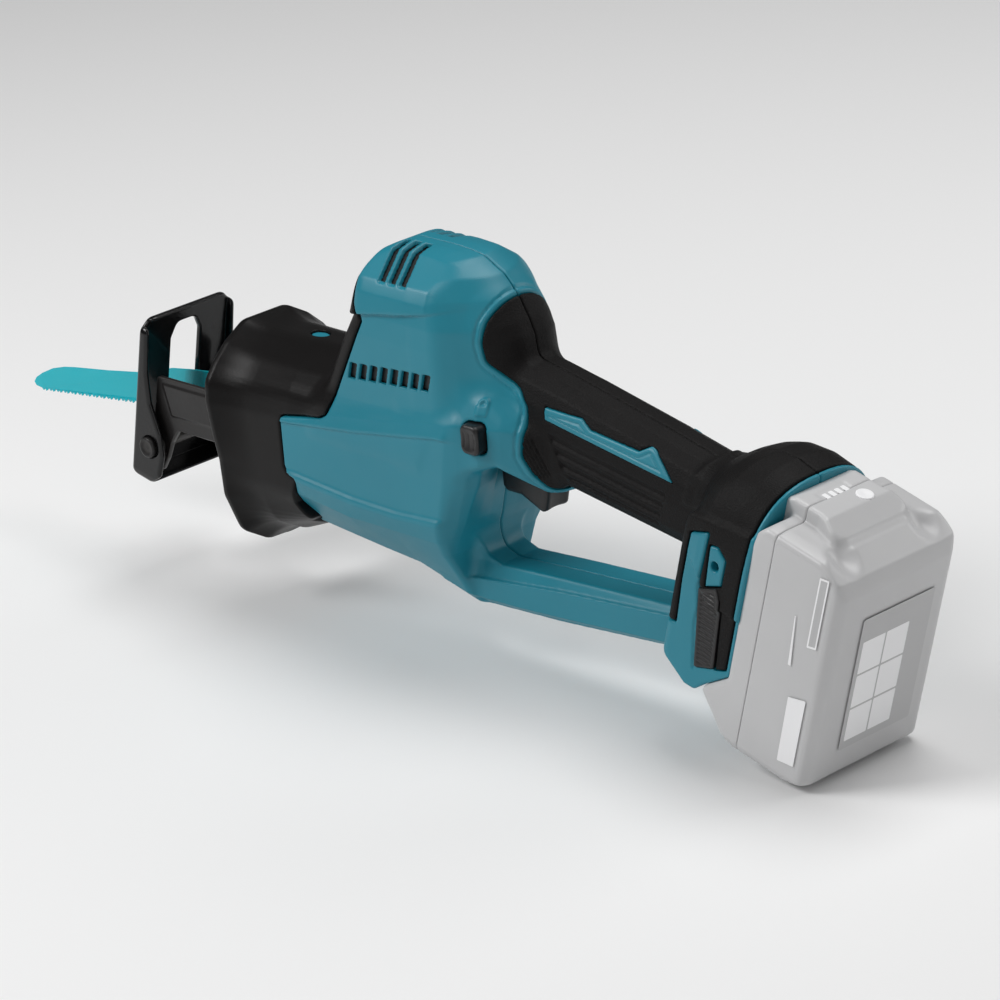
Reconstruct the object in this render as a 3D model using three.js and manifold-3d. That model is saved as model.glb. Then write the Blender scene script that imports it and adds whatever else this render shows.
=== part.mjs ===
// A cordless reciprocating saw with a closed D handle, its blade, shoe and battery pack.
// Millimetres. The blade points to -X, the battery is at +X, +Z is up and the stroke runs along X.
import * as THREE from "three";
import { mergeVertices } from "three/addons/utils/BufferGeometryUtils.js";
import Module from "manifold-3d";

const wasm = await Module();
wasm.setup();

// ------------------------------------------------------------------------ driving dimensions
const GAP = 0.3; // clearance between pieces that touch
const WALL = 3; // thickness of the moulded shells
const SKIN = 2.4; // thickness of the soft grip over them
const BODY_HALF = 36; // half width of the motor housing
const GRIP_HALF = 17.5;
const GUARD_HALF = 13;
const FOOT_HALF = 37;
const SHAFT_Z = 84; // height of the stroke axis
const SHAFT_RADIUS = 6.5;
const MOTOR_X = -226; // the motor stands upright on this axis
const CRANK_THROW = 10; // half the stroke
const PINION = { radius: 4.8, teeth: 8, low: 103.5, high: 111.5 };
const GEAR = { radius: 24, teeth: 40, low: 104, high: 111 };
const TOOTH = 0.6; // how far a tooth stands out of its wheel's radius
const GEAR_X = MOTOR_X - PINION.radius - GEAR.radius - 2 * TOOTH;
const PIVOT = { x: -415, z: 61 }; // axis of the shoe's hinge
const SHOE_LEAN = THREE.MathUtils.degToRad(12.3);
const SHOE_HALF = 28;
const LOCK = { x: -188, z: 114.5, half: 6.2, high: 6.9 }; // half its length and half its height
const VENTS = { count: 8, pitch: 6.4, width: 3.6, height: 8 };
const BATTERY_TILT = THREE.MathUtils.degToRad(16.1);
const PACK = { half: 38, seam: -37, rear: 2, bottom: -3, wall: 2.6 };
const CELL = { radius: 9.1, length: 65, pitch: 18.6 };
const sides = [-1, 1];

// ----------------------------------------------------------------------------------- finishes
const finish = (color, roughness, metalness = 0) =>
  new THREE.MeshStandardMaterial({ color, roughness, metalness });
const FINISH = {
  teal: finish(0x1f7487, 0.45),
  rubber: finish(0x1d1b1c, 0.75),
  gloss: finish(0x0d0d0e, 0.2),
  gunmetal: finish(0x2b2728, 0.4, 0.8),
  blade: finish(0x1fb3bd, 0.35, 0.3),
  pale: finish(0xbcbcbc, 0.4),
  steel: finish(0x9a9da0, 0.3, 1),
  aluminium: finish(0xb4b7ba, 0.45, 1),
  copper: finish(0xa8622d, 0.4, 1),
  black: finish(0x161616, 0.5),
  board: finish(0x14552f, 0.5),
  brass: finish(0xb58d3c, 0.35, 1),
  cell: finish(0x2e8a57, 0.45),
};

// ------------------------------------------------------------------------------------ helpers
// A closed three.js geometry as a manifold solid.
function solid(geometry) {
  const bare = geometry.clone();
  bare.deleteAttribute("normal");
  bare.deleteAttribute("uv");
  const merged = mergeVertices(bare, 1e-4);
  return new wasm.Manifold(
    new wasm.Mesh({
      numProp: 3,
      vertProperties: merged.attributes.position.array,
      triVerts: new Uint32Array(merged.index.array),
    }),
  );
}

// A manifold solid as a three.js geometry.
function geometryOf(body) {
  const mesh = body.getMesh();
  const geometry = new THREE.BufferGeometry();
  geometry.setAttribute("position", new THREE.BufferAttribute(mesh.vertProperties, 3));
  geometry.setIndex(new THREE.BufferAttribute(mesh.triVerts, 1));
  geometry.computeVertexNormals();
  return geometry;
}

const join = (...bodies) => bodies.reduce((a, b) => a.add(b));
const cut = (body, ...tools) => tools.reduce((a, b) => a.subtract(b), body);

function box(x0, x1, y0, y1, z0, z1) {
  const g = new THREE.BoxGeometry(x1 - x0, y1 - y0, z1 - z0);
  g.translate((x0 + x1) / 2, (y0 + y1) / 2, (z0 + z1) / 2);
  return solid(g);
}

// A cylinder from lo to hi along an axis, centred at (a, b) on the other two axes in order.
function rod(axis, lo, hi, a, b, radius, sideCount = 24) {
  const g = new THREE.CylinderGeometry(radius, radius, hi - lo, sideCount);
  const middle = (lo + hi) / 2;
  if (axis === "x") g.rotateZ(Math.PI / 2).translate(middle, a, b);
  if (axis === "y") g.translate(a, middle, b);
  if (axis === "z") g.rotateX(Math.PI / 2).translate(a, b, middle);
  return solid(g);
}

const ring = (axis, lo, hi, a, b, inner, outer, sideCount = 24) =>
  cut(rod(axis, lo, hi, a, b, outer, sideCount), rod(axis, lo - 1, hi + 1, a, b, inner, sideCount));

// A closed outline moved inwards by distance, corner by corner.
function inward(points, distance) {
  const twiceArea = points.reduce((sum, [x, z], i) => {
    const [nextX, nextZ] = points[(i + 1) % points.length];
    return sum + x * nextZ - nextX * z;
  }, 0);
  const turn = Math.sign(twiceArea);
  return points.map((point, i) => {
    const here = new THREE.Vector2(...point);
    const a = here.clone().sub(new THREE.Vector2(...points.at(i - 1))).normalize();
    const b = new THREE.Vector2(...points[(i + 1) % points.length]).sub(here).normalize();
    const normalA = new THREE.Vector2(-a.y, a.x).multiplyScalar(turn);
    const normalB = new THREE.Vector2(-b.y, b.x).multiplyScalar(turn);
    const middle = normalA.clone().add(normalB).normalize();
    const reach = distance / Math.max(0.5, middle.dot(normalA));
    return [here.x + middle.x * reach, here.y + middle.y * reach];
  });
}

// A closed body through rings of [x, y, z] points, all listed the same way round, closed at both
// ends by the triangles of ends, corner numbers of one ring.
function skin(rings, ends) {
  const count = rings[0].length;
  const last = (rings.length - 1) * count;
  const triangles = [];
  for (let r = 0; r + 1 < rings.length; r++) {
    for (let i = 0; i < count; i++) {
      const a = r * count + i;
      const b = r * count + ((i + 1) % count);
      triangles.push([a, b, b + count], [a, b + count, a + count]);
    }
  }
  for (const [a, b, c] of ends) {
    triangles.push([a, c, b], [last + a, last + b, last + c]);
  }
  const build = (faces) => {
    const g = new THREE.BufferGeometry();
    g.setAttribute("position", new THREE.Float32BufferAttribute(rings.flat(2), 3));
    g.setIndex(faces.flat());
    return solid(g);
  };
  const body = build(triangles);
  return body.volume() > 0 ? body : build(triangles.map(([a, b, c]) => [a, c, b]));
}

// A side outline of [x, z] points as a plate between y0 and y1, its long edges rounded inside it.
function plate(points, y0, y1, round = 0, segments = 2) {
  const corner = Array.from({ length: round > 0 ? segments + 1 : 1 }, (_, i) => {
    const angle = round > 0 ? (i * Math.PI) / 2 / segments : Math.PI / 2;
    return [round * (1 - Math.sin(angle)), round * (1 - Math.cos(angle))];
  });
  const ringAt = (inset, y) => inward(points, inset).map(([x, z]) => [x, y, z]);
  const rings = [
    ...corner.map(([inset, depth]) => ringAt(inset, y0 + (round > 0 ? depth : 0))),
    ...corner.reverse().map(([inset, depth]) => ringAt(inset, y1 - (round > 0 ? depth : 0))),
  ];
  const contour = points.map(([x, z]) => new THREE.Vector2(x, z));
  const wasClockwise = THREE.ShapeUtils.isClockWise(contour);
  const ends = THREE.ShapeUtils.triangulateShape(contour, []);
  return skin(rings, wasClockwise ? ends.map(([a, b, c]) => [a, c, b]) : ends);
}

// The same on both sides of the middle plane, made smaller all round by inset.
const block = (points, half, round, inset, segments) =>
  plate(inward(points, inset), inset - half, half - inset, round, segments);

// A body lofted through convex rings.
const loft = (rings) =>
  skin(rings, Array.from({ length: rings[0].length - 2 }, (_, i) => [0, i + 1, i + 2]));

// A whole ring from its right-hand points, listed from top to bottom.
const mirrored = (right) => [...right.map(([x, y, z]) => [x, -y, z]), ...right.reverse()];

// Turns what is drawn in the battery's own upright frame, x from its rear face and z up its long
// side, into the saw's frame.
const leanBack = new THREE.Matrix4().makeRotationY(BATTERY_TILT);
const tilted = (body) => body.transform(leanBack.elements);
const tiltedPoints = (points) =>
  points.map(([x, z]) => [
    x * Math.cos(BATTERY_TILT) + z * Math.sin(BATTERY_TILT),
    z * Math.cos(BATTERY_TILT) - x * Math.sin(BATTERY_TILT),
  ]);

const FAR = 700;
const leftHalf = (body) => body.intersect(box(-FAR, FAR, -FAR, -GAP / 2, -FAR, FAR));
const rightHalf = (body) => body.intersect(box(-FAR, FAR, GAP / 2, FAR, -FAR, FAR));
const oneSide = (body, side) => (side < 0 ? leftHalf(body) : rightHalf(body));
const prism = (points) => plate(points, -60, 60);

const saw = new THREE.Group();
function add(name, body, material) {
  const mesh = new THREE.Mesh(geometryOf(body), material);
  mesh.name = name;
  saw.add(mesh);
}

// --------------------------------------------------------------- side outlines of the housing
const MOTOR_OUTLINE = [
  [-284, 102],
  [-264, 156],
  [-254, 183],
  [-244, 188],
  [-214, 187.5],
  [-198, 183],
  [-184, 173],
  [-176, 160],
  [-170, 130],
  [-170, 108],
  [-200, 96],
];
const REAR_DOME_OUTLINE = [
  [-200, 150],
  [-188, 172],
  [-177, 172],
  [-168, 165],
  [-164, 155],
  [-161, 147],
  [-161, 108],
  [-176, 104],
  [-190, 136],
];
const HANDLE_OUTLINE = [
  [-184, 147],
  [-160, 148.5],
  [-139, 144.5],
  [-58, 123],
  [-44, 100],
  [-54, 78],
  [-86, 84.5],
  [-148, 94.5],
  [-176, 100],
];
const GUARD_OUTLINE = [
  [-232, 31],
  [-210, 25.5],
  [-98, 33],
  [-64, 38],
  [-64, 54],
  [-92, 50],
  [-198, 42.5],
  [-206, 52],
  [-232, 52],
];
// In the battery's frame.
const FOOT_OUTLINE = [
  [-49, 28.5],
  [-64, 19],
  [-67, 12],
  [-70, 11.4],
  [-88, 20],
  [-92, 34],
  [-92, 62],
  [-90, 80],
  [-84, 102],
  [-74, 116],
  [-60, 118.5],
  [-49, 113],
];

// The front barrel: flat sides between two ridges, narrowing to the underside.
function barrel(inset) {
  const across = (x, top, ridge, lower, bottom, width) =>
    mirrored([
      [x, width - 12 - inset, top - inset],
      [x, width - inset, ridge],
      [x, width - inset, lower],
      [x, 13 - inset * 0.6, bottom + inset],
    ]);
  return loft([
    across(-312 + inset, 106, 99, 70, 43, BODY_HALF - 1),
    across(-280, 112, 102, 68, 38, BODY_HALF),
    across(-236, 120, 110, 64, 30.5, BODY_HALF),
    across(-205 - inset, 122, 113, 61, 27, BODY_HALF - 6),
  ]);
}

const housingShape = (inset) =>
  join(
    block(MOTOR_OUTLINE, BODY_HALF, 10, inset, 3),
    barrel(inset),
    block(REAR_DOME_OUTLINE, 29, 10, inset, 2),
    block(HANDLE_OUTLINE, GRIP_HALF, 8, inset, 2),
    block(GUARD_OUTLINE, GUARD_HALF, 4, inset, 1),
    block(tiltedPoints(FOOT_OUTLINE), FOOT_HALF, 5, inset, 2),
  );

// Where the soft grip covers the housing: from its edge on the motor dome back to the foot.
const GRIP_REGION = [
  [-176, 230],
  [-180, 172],
  [-189, 157],
  [-192.5, 147],
  [-190, 143],
  [-173, 136],
  [-167, 123],
  [-166.6, 113],
  [-163, 106],
  [-155, 100.5],
  [-139, 90],
  [-139, 70],
  [-80, 70],
  ...tiltedPoints([
    [-84, 66],
    [-84, 80],
    [-54, 80],
    [-54, 190],
  ]),
];
// What lies ahead of the teal housing, covered by the rubber nose.
const NOSE_REGION = [
  [-420, -20],
  [-309, -20],
  [-309, 58],
  [-306, 70],
  [-313, 76],
  [-312.8, 99.6],
  [-282, 104.6],
  [-255, 156],
  [-262, 162],
  [-300, 240],
  [-420, 240],
];

// ----------------------------------------------------------------------------------- cut-outs
const railRoom = tilted(
  join(box(-65, -54, -31.6, 31.6, -10, 101), box(-54.5, -40, -27.4, 27.4, -10, 101)),
);
const triggerRoom = box(-202, -150, -9.2, 9.2, 70, 106);
// The lock button's outline as a bar between y0 and y1, larger all round by grow.
function lockBar(y0, y1, grow) {
  const [half, high, corner] = [LOCK.half + grow, LOCK.high + grow, 3];
  const outline = [
    [-half, corner - high],
    [corner - half, -high],
    [half - corner, -high],
    [half, corner - high],
    [half, high - corner],
    [half - corner, high],
    [corner - half, high],
    [-half, high - corner],
  ];
  return plate(outline.map(([x, z]) => [LOCK.x + x, LOCK.z + z]), y0, y1);
}
const lockBore = lockBar(-50, 50, GAP);
const gearRoom = box(-313.5, -213, -29.5, 29.5, 57, 117.5);
const motorRoom = join(
  rod("z", 115, 178, MOTOR_X, 0, 29, 28),
  rod("z", 170, 183.6, MOTOR_X, 0, 11, 20),
  rod("z", 110, 121.5, GEAR_X, 0, 16, 20),
);
const switchRoom = box(-182, -150, -11, 11, 97, 137);
const handleRoom = block(HANDLE_OUTLINE, GRIP_HALF, 8, SKIN + 3 * GAP + WALL, 1).intersect(
  box(-165, -88, -60, 60, 60, 150),
);
const boardRoom = tilted(box(-84, -64.5, -27, 27, 30, 96));
const ventSlots = sides.flatMap((side) =>
  Array.from({ length: VENTS.count }, (_, i) => {
    const x = -260 + i * VENTS.pitch;
    const z = 130 + i * 0.4;
    return box(x, x + VENTS.width, side * 34 - 6, side * 34 + 6, z, z + VENTS.height);
  }),
);
const crownSlots = sides.flatMap((side) =>
  Array.from({ length: 3 }, (_, i) => {
    const x = -246 + i * VENTS.pitch;
    return box(x, x + 3.2, side * 19 - 10, side * 19 + 10, 174, 195);
  }),
);

// Coloured inlays let into the sides of the grip, and ribbed pads let into the sides of the foot.
const INLAY_OUTLINE = [
  [-157.5, 130.6],
  [-132.5, 131.6],
  [-131, 127.6],
  [-103, 122.8],
  [-93, 127.7],
  [-83, 112.2],
  [-156.5, 125.3],
];
const PAD_OUTLINE = tiltedPoints([
  [-69, 24],
  [-57, 33],
  [-61, 65],
  [-74, 59],
]);
const sidePlate = (outline, side, inner, outer, grow = 0) =>
  plate(inward(outline, -grow), ...(side < 0 ? [-outer, -inner] : [inner, outer]));
const inlay = (side, grow) =>
  sidePlate(INLAY_OUTLINE, side, GRIP_HALF - 1.6 - grow, GRIP_HALF + 0.3 + 20 * grow, grow);
const pad = (side, grow) =>
  sidePlate(PAD_OUTLINE, side, FOOT_HALF - 2.4 - grow, FOOT_HALF + 0.6 + 20 * grow, grow);

// --------------------------------------------------------------------------- housing and grip
const outside = housingShape(0);
const housing = cut(
  join(cut(outside, prism(inward(GRIP_REGION, -GAP))), housingShape(SKIN + 3 * GAP)),
  prism(NOSE_REGION),
  railRoom,
  triggerRoom,
  lockBore,
  gearRoom,
  motorRoom,
  switchRoom,
  handleRoom,
  boardRoom,
  ...ventSlots,
  ...crownSlots,
  ...sides.map((side) => pad(side, GAP)),
);
const grip = cut(
  cut(outside, housingShape(SKIN)).intersect(prism(GRIP_REGION)),
  triggerRoom,
  railRoom,
  ...sides.map((side) => inlay(side, GAP)),
);
for (const [side, name] of [
  [-1, "left"],
  [1, "right"],
]) {
  add("housing_" + name, oneSide(housing, side), FINISH.teal);
  add("grip_" + name, oneSide(grip, side), FINISH.rubber);
  add("grip_inlay_" + name, inlay(side, 0), FINISH.teal);
  add("foot_pad_" + name, pad(side, 0), FINISH.rubber);
}

// ------------------------------------------------------------------------------- nose bumper
// Its front rim leans a little forward at the top.
const RIM = { middle: 78, lean: 0.04 };
const rimRing = (x, scale) =>
  [
    [14, 131.2],
    [25, 124],
    [39.6, 108.5],
    [39.8, 90],
    [36, 54],
    [28.5, 34],
    [14.5, 26.5],
  ].map(([y, z]) => [
    x - (z - RIM.middle) * RIM.lean,
    y * scale,
    RIM.middle + (z - RIM.middle) * scale,
  ]);
const neck = (x, width, top, bottom) =>
  [
    [13, top],
    [width - 7, top - 6],
    [width, top - 18],
    [width, 84],
    [width - 1, 60],
    [width - 9, bottom + 7],
    [13, bottom],
  ].map(([y, z]) => [x, y, z]);
const noseShape = loft([
  mirrored(rimRing(-358, 0.93)),
  mirrored(rimRing(-355, 1)),
  mirrored(rimRing(-350, 1)),
  mirrored(neck(-338, 36, 126, 32)),
  mirrored(neck(-318, 35, 123, 39)),
  mirrored(neck(-296, 34.5, 119, 45)),
  mirrored(neck(-270, 34, 118.5, 48)),
]);
const frontOpening = box(-400, -341.6, -25, 25, 58, 108);
const nose = cut(
  join(noseShape, block(MOTOR_OUTLINE, BODY_HALF, 10, 0, 3)).intersect(
    prism(inward(NOSE_REGION, GAP)),
  ),
  join(block(MOTOR_OUTLINE, BODY_HALF, 10, 6, 1), box(-260, -200, -60, 60, 0, 200)).intersect(
    box(-275, -200, -60, 60, 118, 200),
  ),
  gearRoom,
  rod("x", -345, -300, 0, SHAFT_Z, 16, 24),
  frontOpening,
);
add("nose_bumper", nose, FINISH.rubber);

// ---------------------------------------------------------------------------- gears and motor
const CASE = { x0: -312, x1: -217, half: 28.5, low: 58.5, high: 112, corner: 16, wall: 3 };
// A block as wide as half on each side, its two rear corners cut off.
const caseBlock = (inset, low, high) => {
  const [half, x1] = [CASE.half - inset, CASE.x1 - inset];
  const plan = [
    [CASE.x0 + inset, -half],
    [x1 - CASE.corner, -half],
    [x1, CASE.corner - half],
    [x1, half - CASE.corner],
    [x1 - CASE.corner, half],
    [CASE.x0 + inset, half],
  ];
  return loft([low, high].map((z) => plan.map(([x, y]) => [x, y, z])));
};
const gearCase = cut(
  join(caseBlock(0, CASE.low, CASE.high), rod("x", -341, -308, 0, SHAFT_Z, 15, 24)),
  caseBlock(CASE.wall, CASE.low + CASE.wall, CASE.high + 1),
  rod("x", -345, -300, 0, SHAFT_Z, 10.3, 24),
);
add("gear_case", gearCase, FINISH.aluminium);
const gearCover = cut(
  join(
    caseBlock(0, CASE.high + GAP, 116),
    rod("z", 115, 119.5, GEAR_X, 0, 14.5, 24),
    rod("z", 115, 124, MOTOR_X, 0, 11, 24),
  ),
  rod("z", 110, 118, GEAR_X, 0, 12.3, 24),
  rod("z", 110, 118.7, MOTOR_X, 0, 6.6, 24),
  rod("z", 118.4, 130, MOTOR_X, 0, 8.3, 24),
);
add("gear_cover", gearCover, FINISH.aluminium);

// A toothed wheel standing on Z, its first tooth turned by phase of a tooth.
function toothed(wheel, x, phase) {
  const shape = new THREE.Shape();
  for (let i = 0; i < wheel.teeth; i++) {
    const corners = [
      [-0.3, -1],
      [-0.14, 1],
      [0.14, 1],
      [0.3, -1],
    ];
    for (const [step, out] of corners) {
      const angle = ((i + phase + step) * 2 * Math.PI) / wheel.teeth;
      const radius = wheel.radius + out * TOOTH;
      const place = [radius * Math.cos(angle), radius * Math.sin(angle)];
      if (i === 0 && step === corners[0][0]) shape.moveTo(...place);
      else shape.lineTo(...place);
    }
  }
  const g = new THREE.ExtrudeGeometry(shape, { depth: wheel.high - wheel.low, bevelEnabled: false });
  g.translate(x, 0, wheel.low);
  return solid(g);
}

add(
  "motor_pinion",
  cut(toothed(PINION, MOTOR_X, 0.5), rod("z", 90, 120, MOTOR_X, 0, 2.8, 12)),
  FINISH.steel,
);
const crankPin = { x: GEAR_X, y: CRANK_THROW, radius: 3.5 };
add(
  "crank_gear",
  cut(
    join(toothed(GEAR, GEAR_X, 0), rod("z", 110, 117.4, GEAR_X, 0, 5.6, 20)),
    rod("z", 90, 115, crankPin.x, crankPin.y, crankPin.radius + GAP, 16),
  ),
  FINISH.steel,
);
add("crank_bearing", ring("z", 112.4, 117.4, GEAR_X, 0, 6, 12), FINISH.steel);
add("crank_pin", rod("z", 91.2, 110.8, crankPin.x, crankPin.y, crankPin.radius, 16), FINISH.steel);
add(
  "crank_roller",
  ring("z", 92, 103.6, crankPin.x, crankPin.y, crankPin.radius + GAP, 6, 20),
  FINISH.brass,
);
const yoke = join(
  cut(
    box(GEAR_X - 11, GEAR_X + 11, -21, 21, 78, 90.6),
    box(GEAR_X - 6.3, GEAR_X + 6.3, -16.5, 16.5, 70, 100),
  ),
  rod("x", -368, GEAR_X - 8, 0, SHAFT_Z, SHAFT_RADIUS, 24),
);
const clampPin = { x: -361, radius: 2 };
add(
  "stroke_shaft",
  cut(
    yoke,
    box(-400, -352, -0.9, 0.9, 70, 100),
    rod("y", 0, 20, clampPin.x, SHAFT_Z, clampPin.radius + GAP, 12),
  ),
  FINISH.steel,
);
for (const [name, lo, hi] of [
  ["shaft_bush_front", -340.7, -330],
  ["shaft_bush_rear", -314, -303],
]) {
  add(name, ring("x", lo, hi, 0, SHAFT_Z, SHAFT_RADIUS + GAP, 10), FINISH.brass);
}

const MOTOR = { low: 142, high: 173, bore: 11.5, radius: 25.5 };
const statorIron = ring("z", MOTOR.low, MOTOR.high, MOTOR_X, 0, MOTOR.bore, MOTOR.radius, 32);
const windings = ring("z", MOTOR.low - 3, MOTOR.high + 3, MOTOR_X, 0, MOTOR.bore, 20, 24);
add("motor_stator", join(statorIron, windings), FINISH.copper);
add(
  "motor_rotor",
  join(
    rod("z", 103, 182, MOTOR_X, 0, 2.5, 12),
    rod("z", MOTOR.low, MOTOR.high, MOTOR_X, 0, MOTOR.bore - 0.7, 20),
  ),
  FINISH.steel,
);
const fanBlades = Array.from({ length: 9 }, (_, i) => {
  const g = new THREE.BoxGeometry(14, 1.6, 7);
  g.translate(15.5, 0, 133.5);
  g.rotateZ((i * 2 * Math.PI) / 9);
  g.translate(MOTOR_X, 0, 0);
  return solid(g);
});
add(
  "cooling_fan",
  cut(
    join(
      rod("z", 128, 131, MOTOR_X, 0, 24, 28),
      rod("z", 128, 137, MOTOR_X, 0, 9, 20),
      ...fanBlades,
    ),
    rod("z", 120, 140, MOTOR_X, 0, 2.8, 12),
  ),
  FINISH.black,
);
add("motor_bearing_low", ring("z", 119, 124, MOTOR_X, 0, 2.8, 8, 20), FINISH.steel);
add("motor_bearing_high", ring("z", 178.3, 183, MOTOR_X, 0, 2.8, 10.4, 20), FINISH.steel);

// ------------------------------------------------------------------------------ blade and shoe
const BLADE_OUTLINE = [
  [-532.5, 62.8],
  [-532.3, 60],
  [-527.5, 58.6],
  [-378, 75.6],
  [-372, 79.5],
  [-356, 79.5],
  [-356, 88.5],
  [-372, 88.5],
  [-380, 94.5],
  [-397, 93.8],
  [-428, 89.6],
  [-440, 84.5],
  [-500, 75.2],
  [-512, 73.4],
  [-524, 68.5],
];
add("blade", plate(BLADE_OUTLINE, -0.5, 0.5), FINISH.blade);
add(
  "blade_clamp_collar",
  ring("x", -371, -355, 0, SHAFT_Z, SHAFT_RADIUS + GAP, 10.8, 24),
  FINISH.steel,
);
add("blade_clamp_pin", rod("y", 1.2, 6, clampPin.x, SHAFT_Z, clampPin.radius, 12), FINISH.steel);

// The bracket that carries the shoe: two arms and a floor behind a mounting plate.
const ARM = { inner: 20, outer: 23, top: 95.5, bottom: 71 };
const ARM_OUTLINE = [
  [-345, ARM.bottom],
  [-345, ARM.top],
  [-411, ARM.top],
  [-414.3, 80],
  [-417.5, 66],
  [-419.6, 55],
  [-418, 49],
  [-412.5, 48],
  [-407, 58],
  [-402, 66],
  [-397, ARM.bottom],
];
const PIN_RADIUS = 3;
const pivotBore = rod("y", -60, 60, PIVOT.x, PIVOT.z, PIN_RADIUS + GAP, 20);
const bosses = sides.map((side) => {
  const [near, far] = [side * (ARM.outer - 1), side * (SHOE_HALF - 2.6 - GAP)];
  return rod("y", Math.min(near, far), Math.max(near, far), PIVOT.x, PIVOT.z, 5.2, 20);
});
const bracket = cut(
  join(
    ...sides.map((side) => sidePlate(ARM_OUTLINE, side, ARM.inner, ARM.outer)),
    ...bosses,
    box(-370, -342.6, 1 - ARM.outer, ARM.outer - 1, ARM.bottom, ARM.bottom + 1.6),
    box(-345, -342, -ARM.outer, ARM.outer, 60, 106),
  ),
  pivotBore,
  rod("x", -350, -330, 0, SHAFT_Z, 12, 24),
);
add("shoe_bracket", bracket, FINISH.gunmetal);
add("shoe_pivot_pin", rod("y", -30, 30, PIVOT.x, PIVOT.z, PIN_RADIUS, 20), FINISH.gunmetal);

// The shoe, drawn upright about its hinge and then leaned back at the top.
const SHOE = { front: -12, top: 64, bottom: -20, thick: 3, slotHalf: 9 };
const SHOE_SIDE = [
  [SHOE.front, -15],
  [-8, SHOE.bottom],
  [3, SHOE.bottom],
  [8, -13],
  [9, -2],
  [6, 8],
  [-1, 22],
  [-5, 36],
  [-7, 59],
  [-9, SHOE.top],
  [SHOE.front, 60],
];
const shoeFace = (() => {
  const shape = new THREE.Shape([
    new THREE.Vector2(-SHOE_HALF, SHOE.bottom + 3),
    new THREE.Vector2(SHOE_HALF, SHOE.bottom + 3),
    new THREE.Vector2(SHOE_HALF, SHOE.top - 6),
    new THREE.Vector2(SHOE_HALF - 6, SHOE.top),
    new THREE.Vector2(6 - SHOE_HALF, SHOE.top),
    new THREE.Vector2(-SHOE_HALF, SHOE.top - 6),
  ]);
  const slot = new THREE.Path([
    new THREE.Vector2(-SHOE.slotHalf, -8),
    new THREE.Vector2(-SHOE.slotHalf, 50),
    new THREE.Vector2(-4, 55),
    new THREE.Vector2(4, 55),
    new THREE.Vector2(SHOE.slotHalf, 50),
    new THREE.Vector2(SHOE.slotHalf, -8),
  ]);
  shape.holes.push(slot);
  const g = new THREE.ExtrudeGeometry(shape, { depth: SHOE.thick, bevelEnabled: false });
  g.rotateX(Math.PI / 2).rotateZ(Math.PI / 2);
  g.translate(SHOE.front, 0, 0);
  return solid(g);
})();
const shoe = cut(
  join(
    shoeFace,
    ...sides.map((side) => sidePlate(SHOE_SIDE, side, SHOE_HALF - 2.6, SHOE_HALF)),
    box(SHOE.front + 1, -7, 6 - SHOE_HALF, SHOE_HALF - 6, SHOE.top - 2.6, SHOE.top),
    box(SHOE.front + 1, 3, 1 - SHOE_HALF, SHOE_HALF - 1, SHOE.bottom, SHOE.bottom + 2.6),
  ),
  rod("y", -60, 60, 0, 0, PIN_RADIUS + GAP, 20),
);
const shoePlace = new THREE.Matrix4()
  .makeTranslation(PIVOT.x, 0, PIVOT.z)
  .multiply(new THREE.Matrix4().makeRotationY(SHOE_LEAN));
add("shoe", shoe.transform(shoePlace.elements), FINISH.gloss);

// ------------------------------------------------------------------------------ hand controls
const TRIGGER_OUTLINE = [
  [-199, 90],
  [-196, 84],
  [-184, 83],
  [-176, 78.5],
  [-170, 77],
  [-165.5, 80],
  [-162.5, 88],
  [-161, 99],
  [-186, 99],
  [-199, 97],
];
add("trigger", plate(TRIGGER_OUTLINE, -8, 8, 2, 2), FINISH.black);

// A coil spring of wire from one end to the other.
function spring(from, to, radius, wire, turns) {
  const axis = to.clone().sub(from);
  const turned = new THREE.Quaternion().setFromUnitVectors(
    new THREE.Vector3(0, 0, 1),
    axis.clone().normalize(),
  );
  const points = Array.from({ length: turns * 8 + 1 }, (_, i) => {
    const angle = (i * Math.PI) / 4;
    const along = (axis.length() * i) / (turns * 8);
    return new THREE.Vector3(radius * Math.cos(angle), radius * Math.sin(angle), along)
      .applyQuaternion(turned)
      .add(from);
  });
  const round = new THREE.Shape().absarc(0, 0, wire / 2, 0, 2 * Math.PI);
  const g = new THREE.ExtrudeGeometry(round, {
    steps: turns * 8,
    curveSegments: 3,
    extrudePath: new THREE.CatmullRomCurve3(points),
    bevelEnabled: false,
  });
  return solid(g);
}
add(
  "trigger_spring",
  spring(new THREE.Vector3(-166, 0, 100), new THREE.Vector3(-166, 0, 107.2), 3, 0.9, 4),
  FINISH.steel,
);
add("switch_unit", box(-177, -152, -10.4, 10.4, 108, 134), FINISH.black);
add("lock_button", lockBar(-34.5, 34.5, 0), FINISH.black);
add("controller_board", tilted(box(-83, -76, -26, 26, 31, 86)), FINISH.board);
const terminals = sides.map((side) => box(-70, -57, side * 20 - 0.5, side * 20 + 0.5, 66, 92));
add(
  "terminal_block",
  tilted(join(box(-74, -66, -26, 26, 60, 95), ...terminals)),
  FINISH.brass,
);

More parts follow.
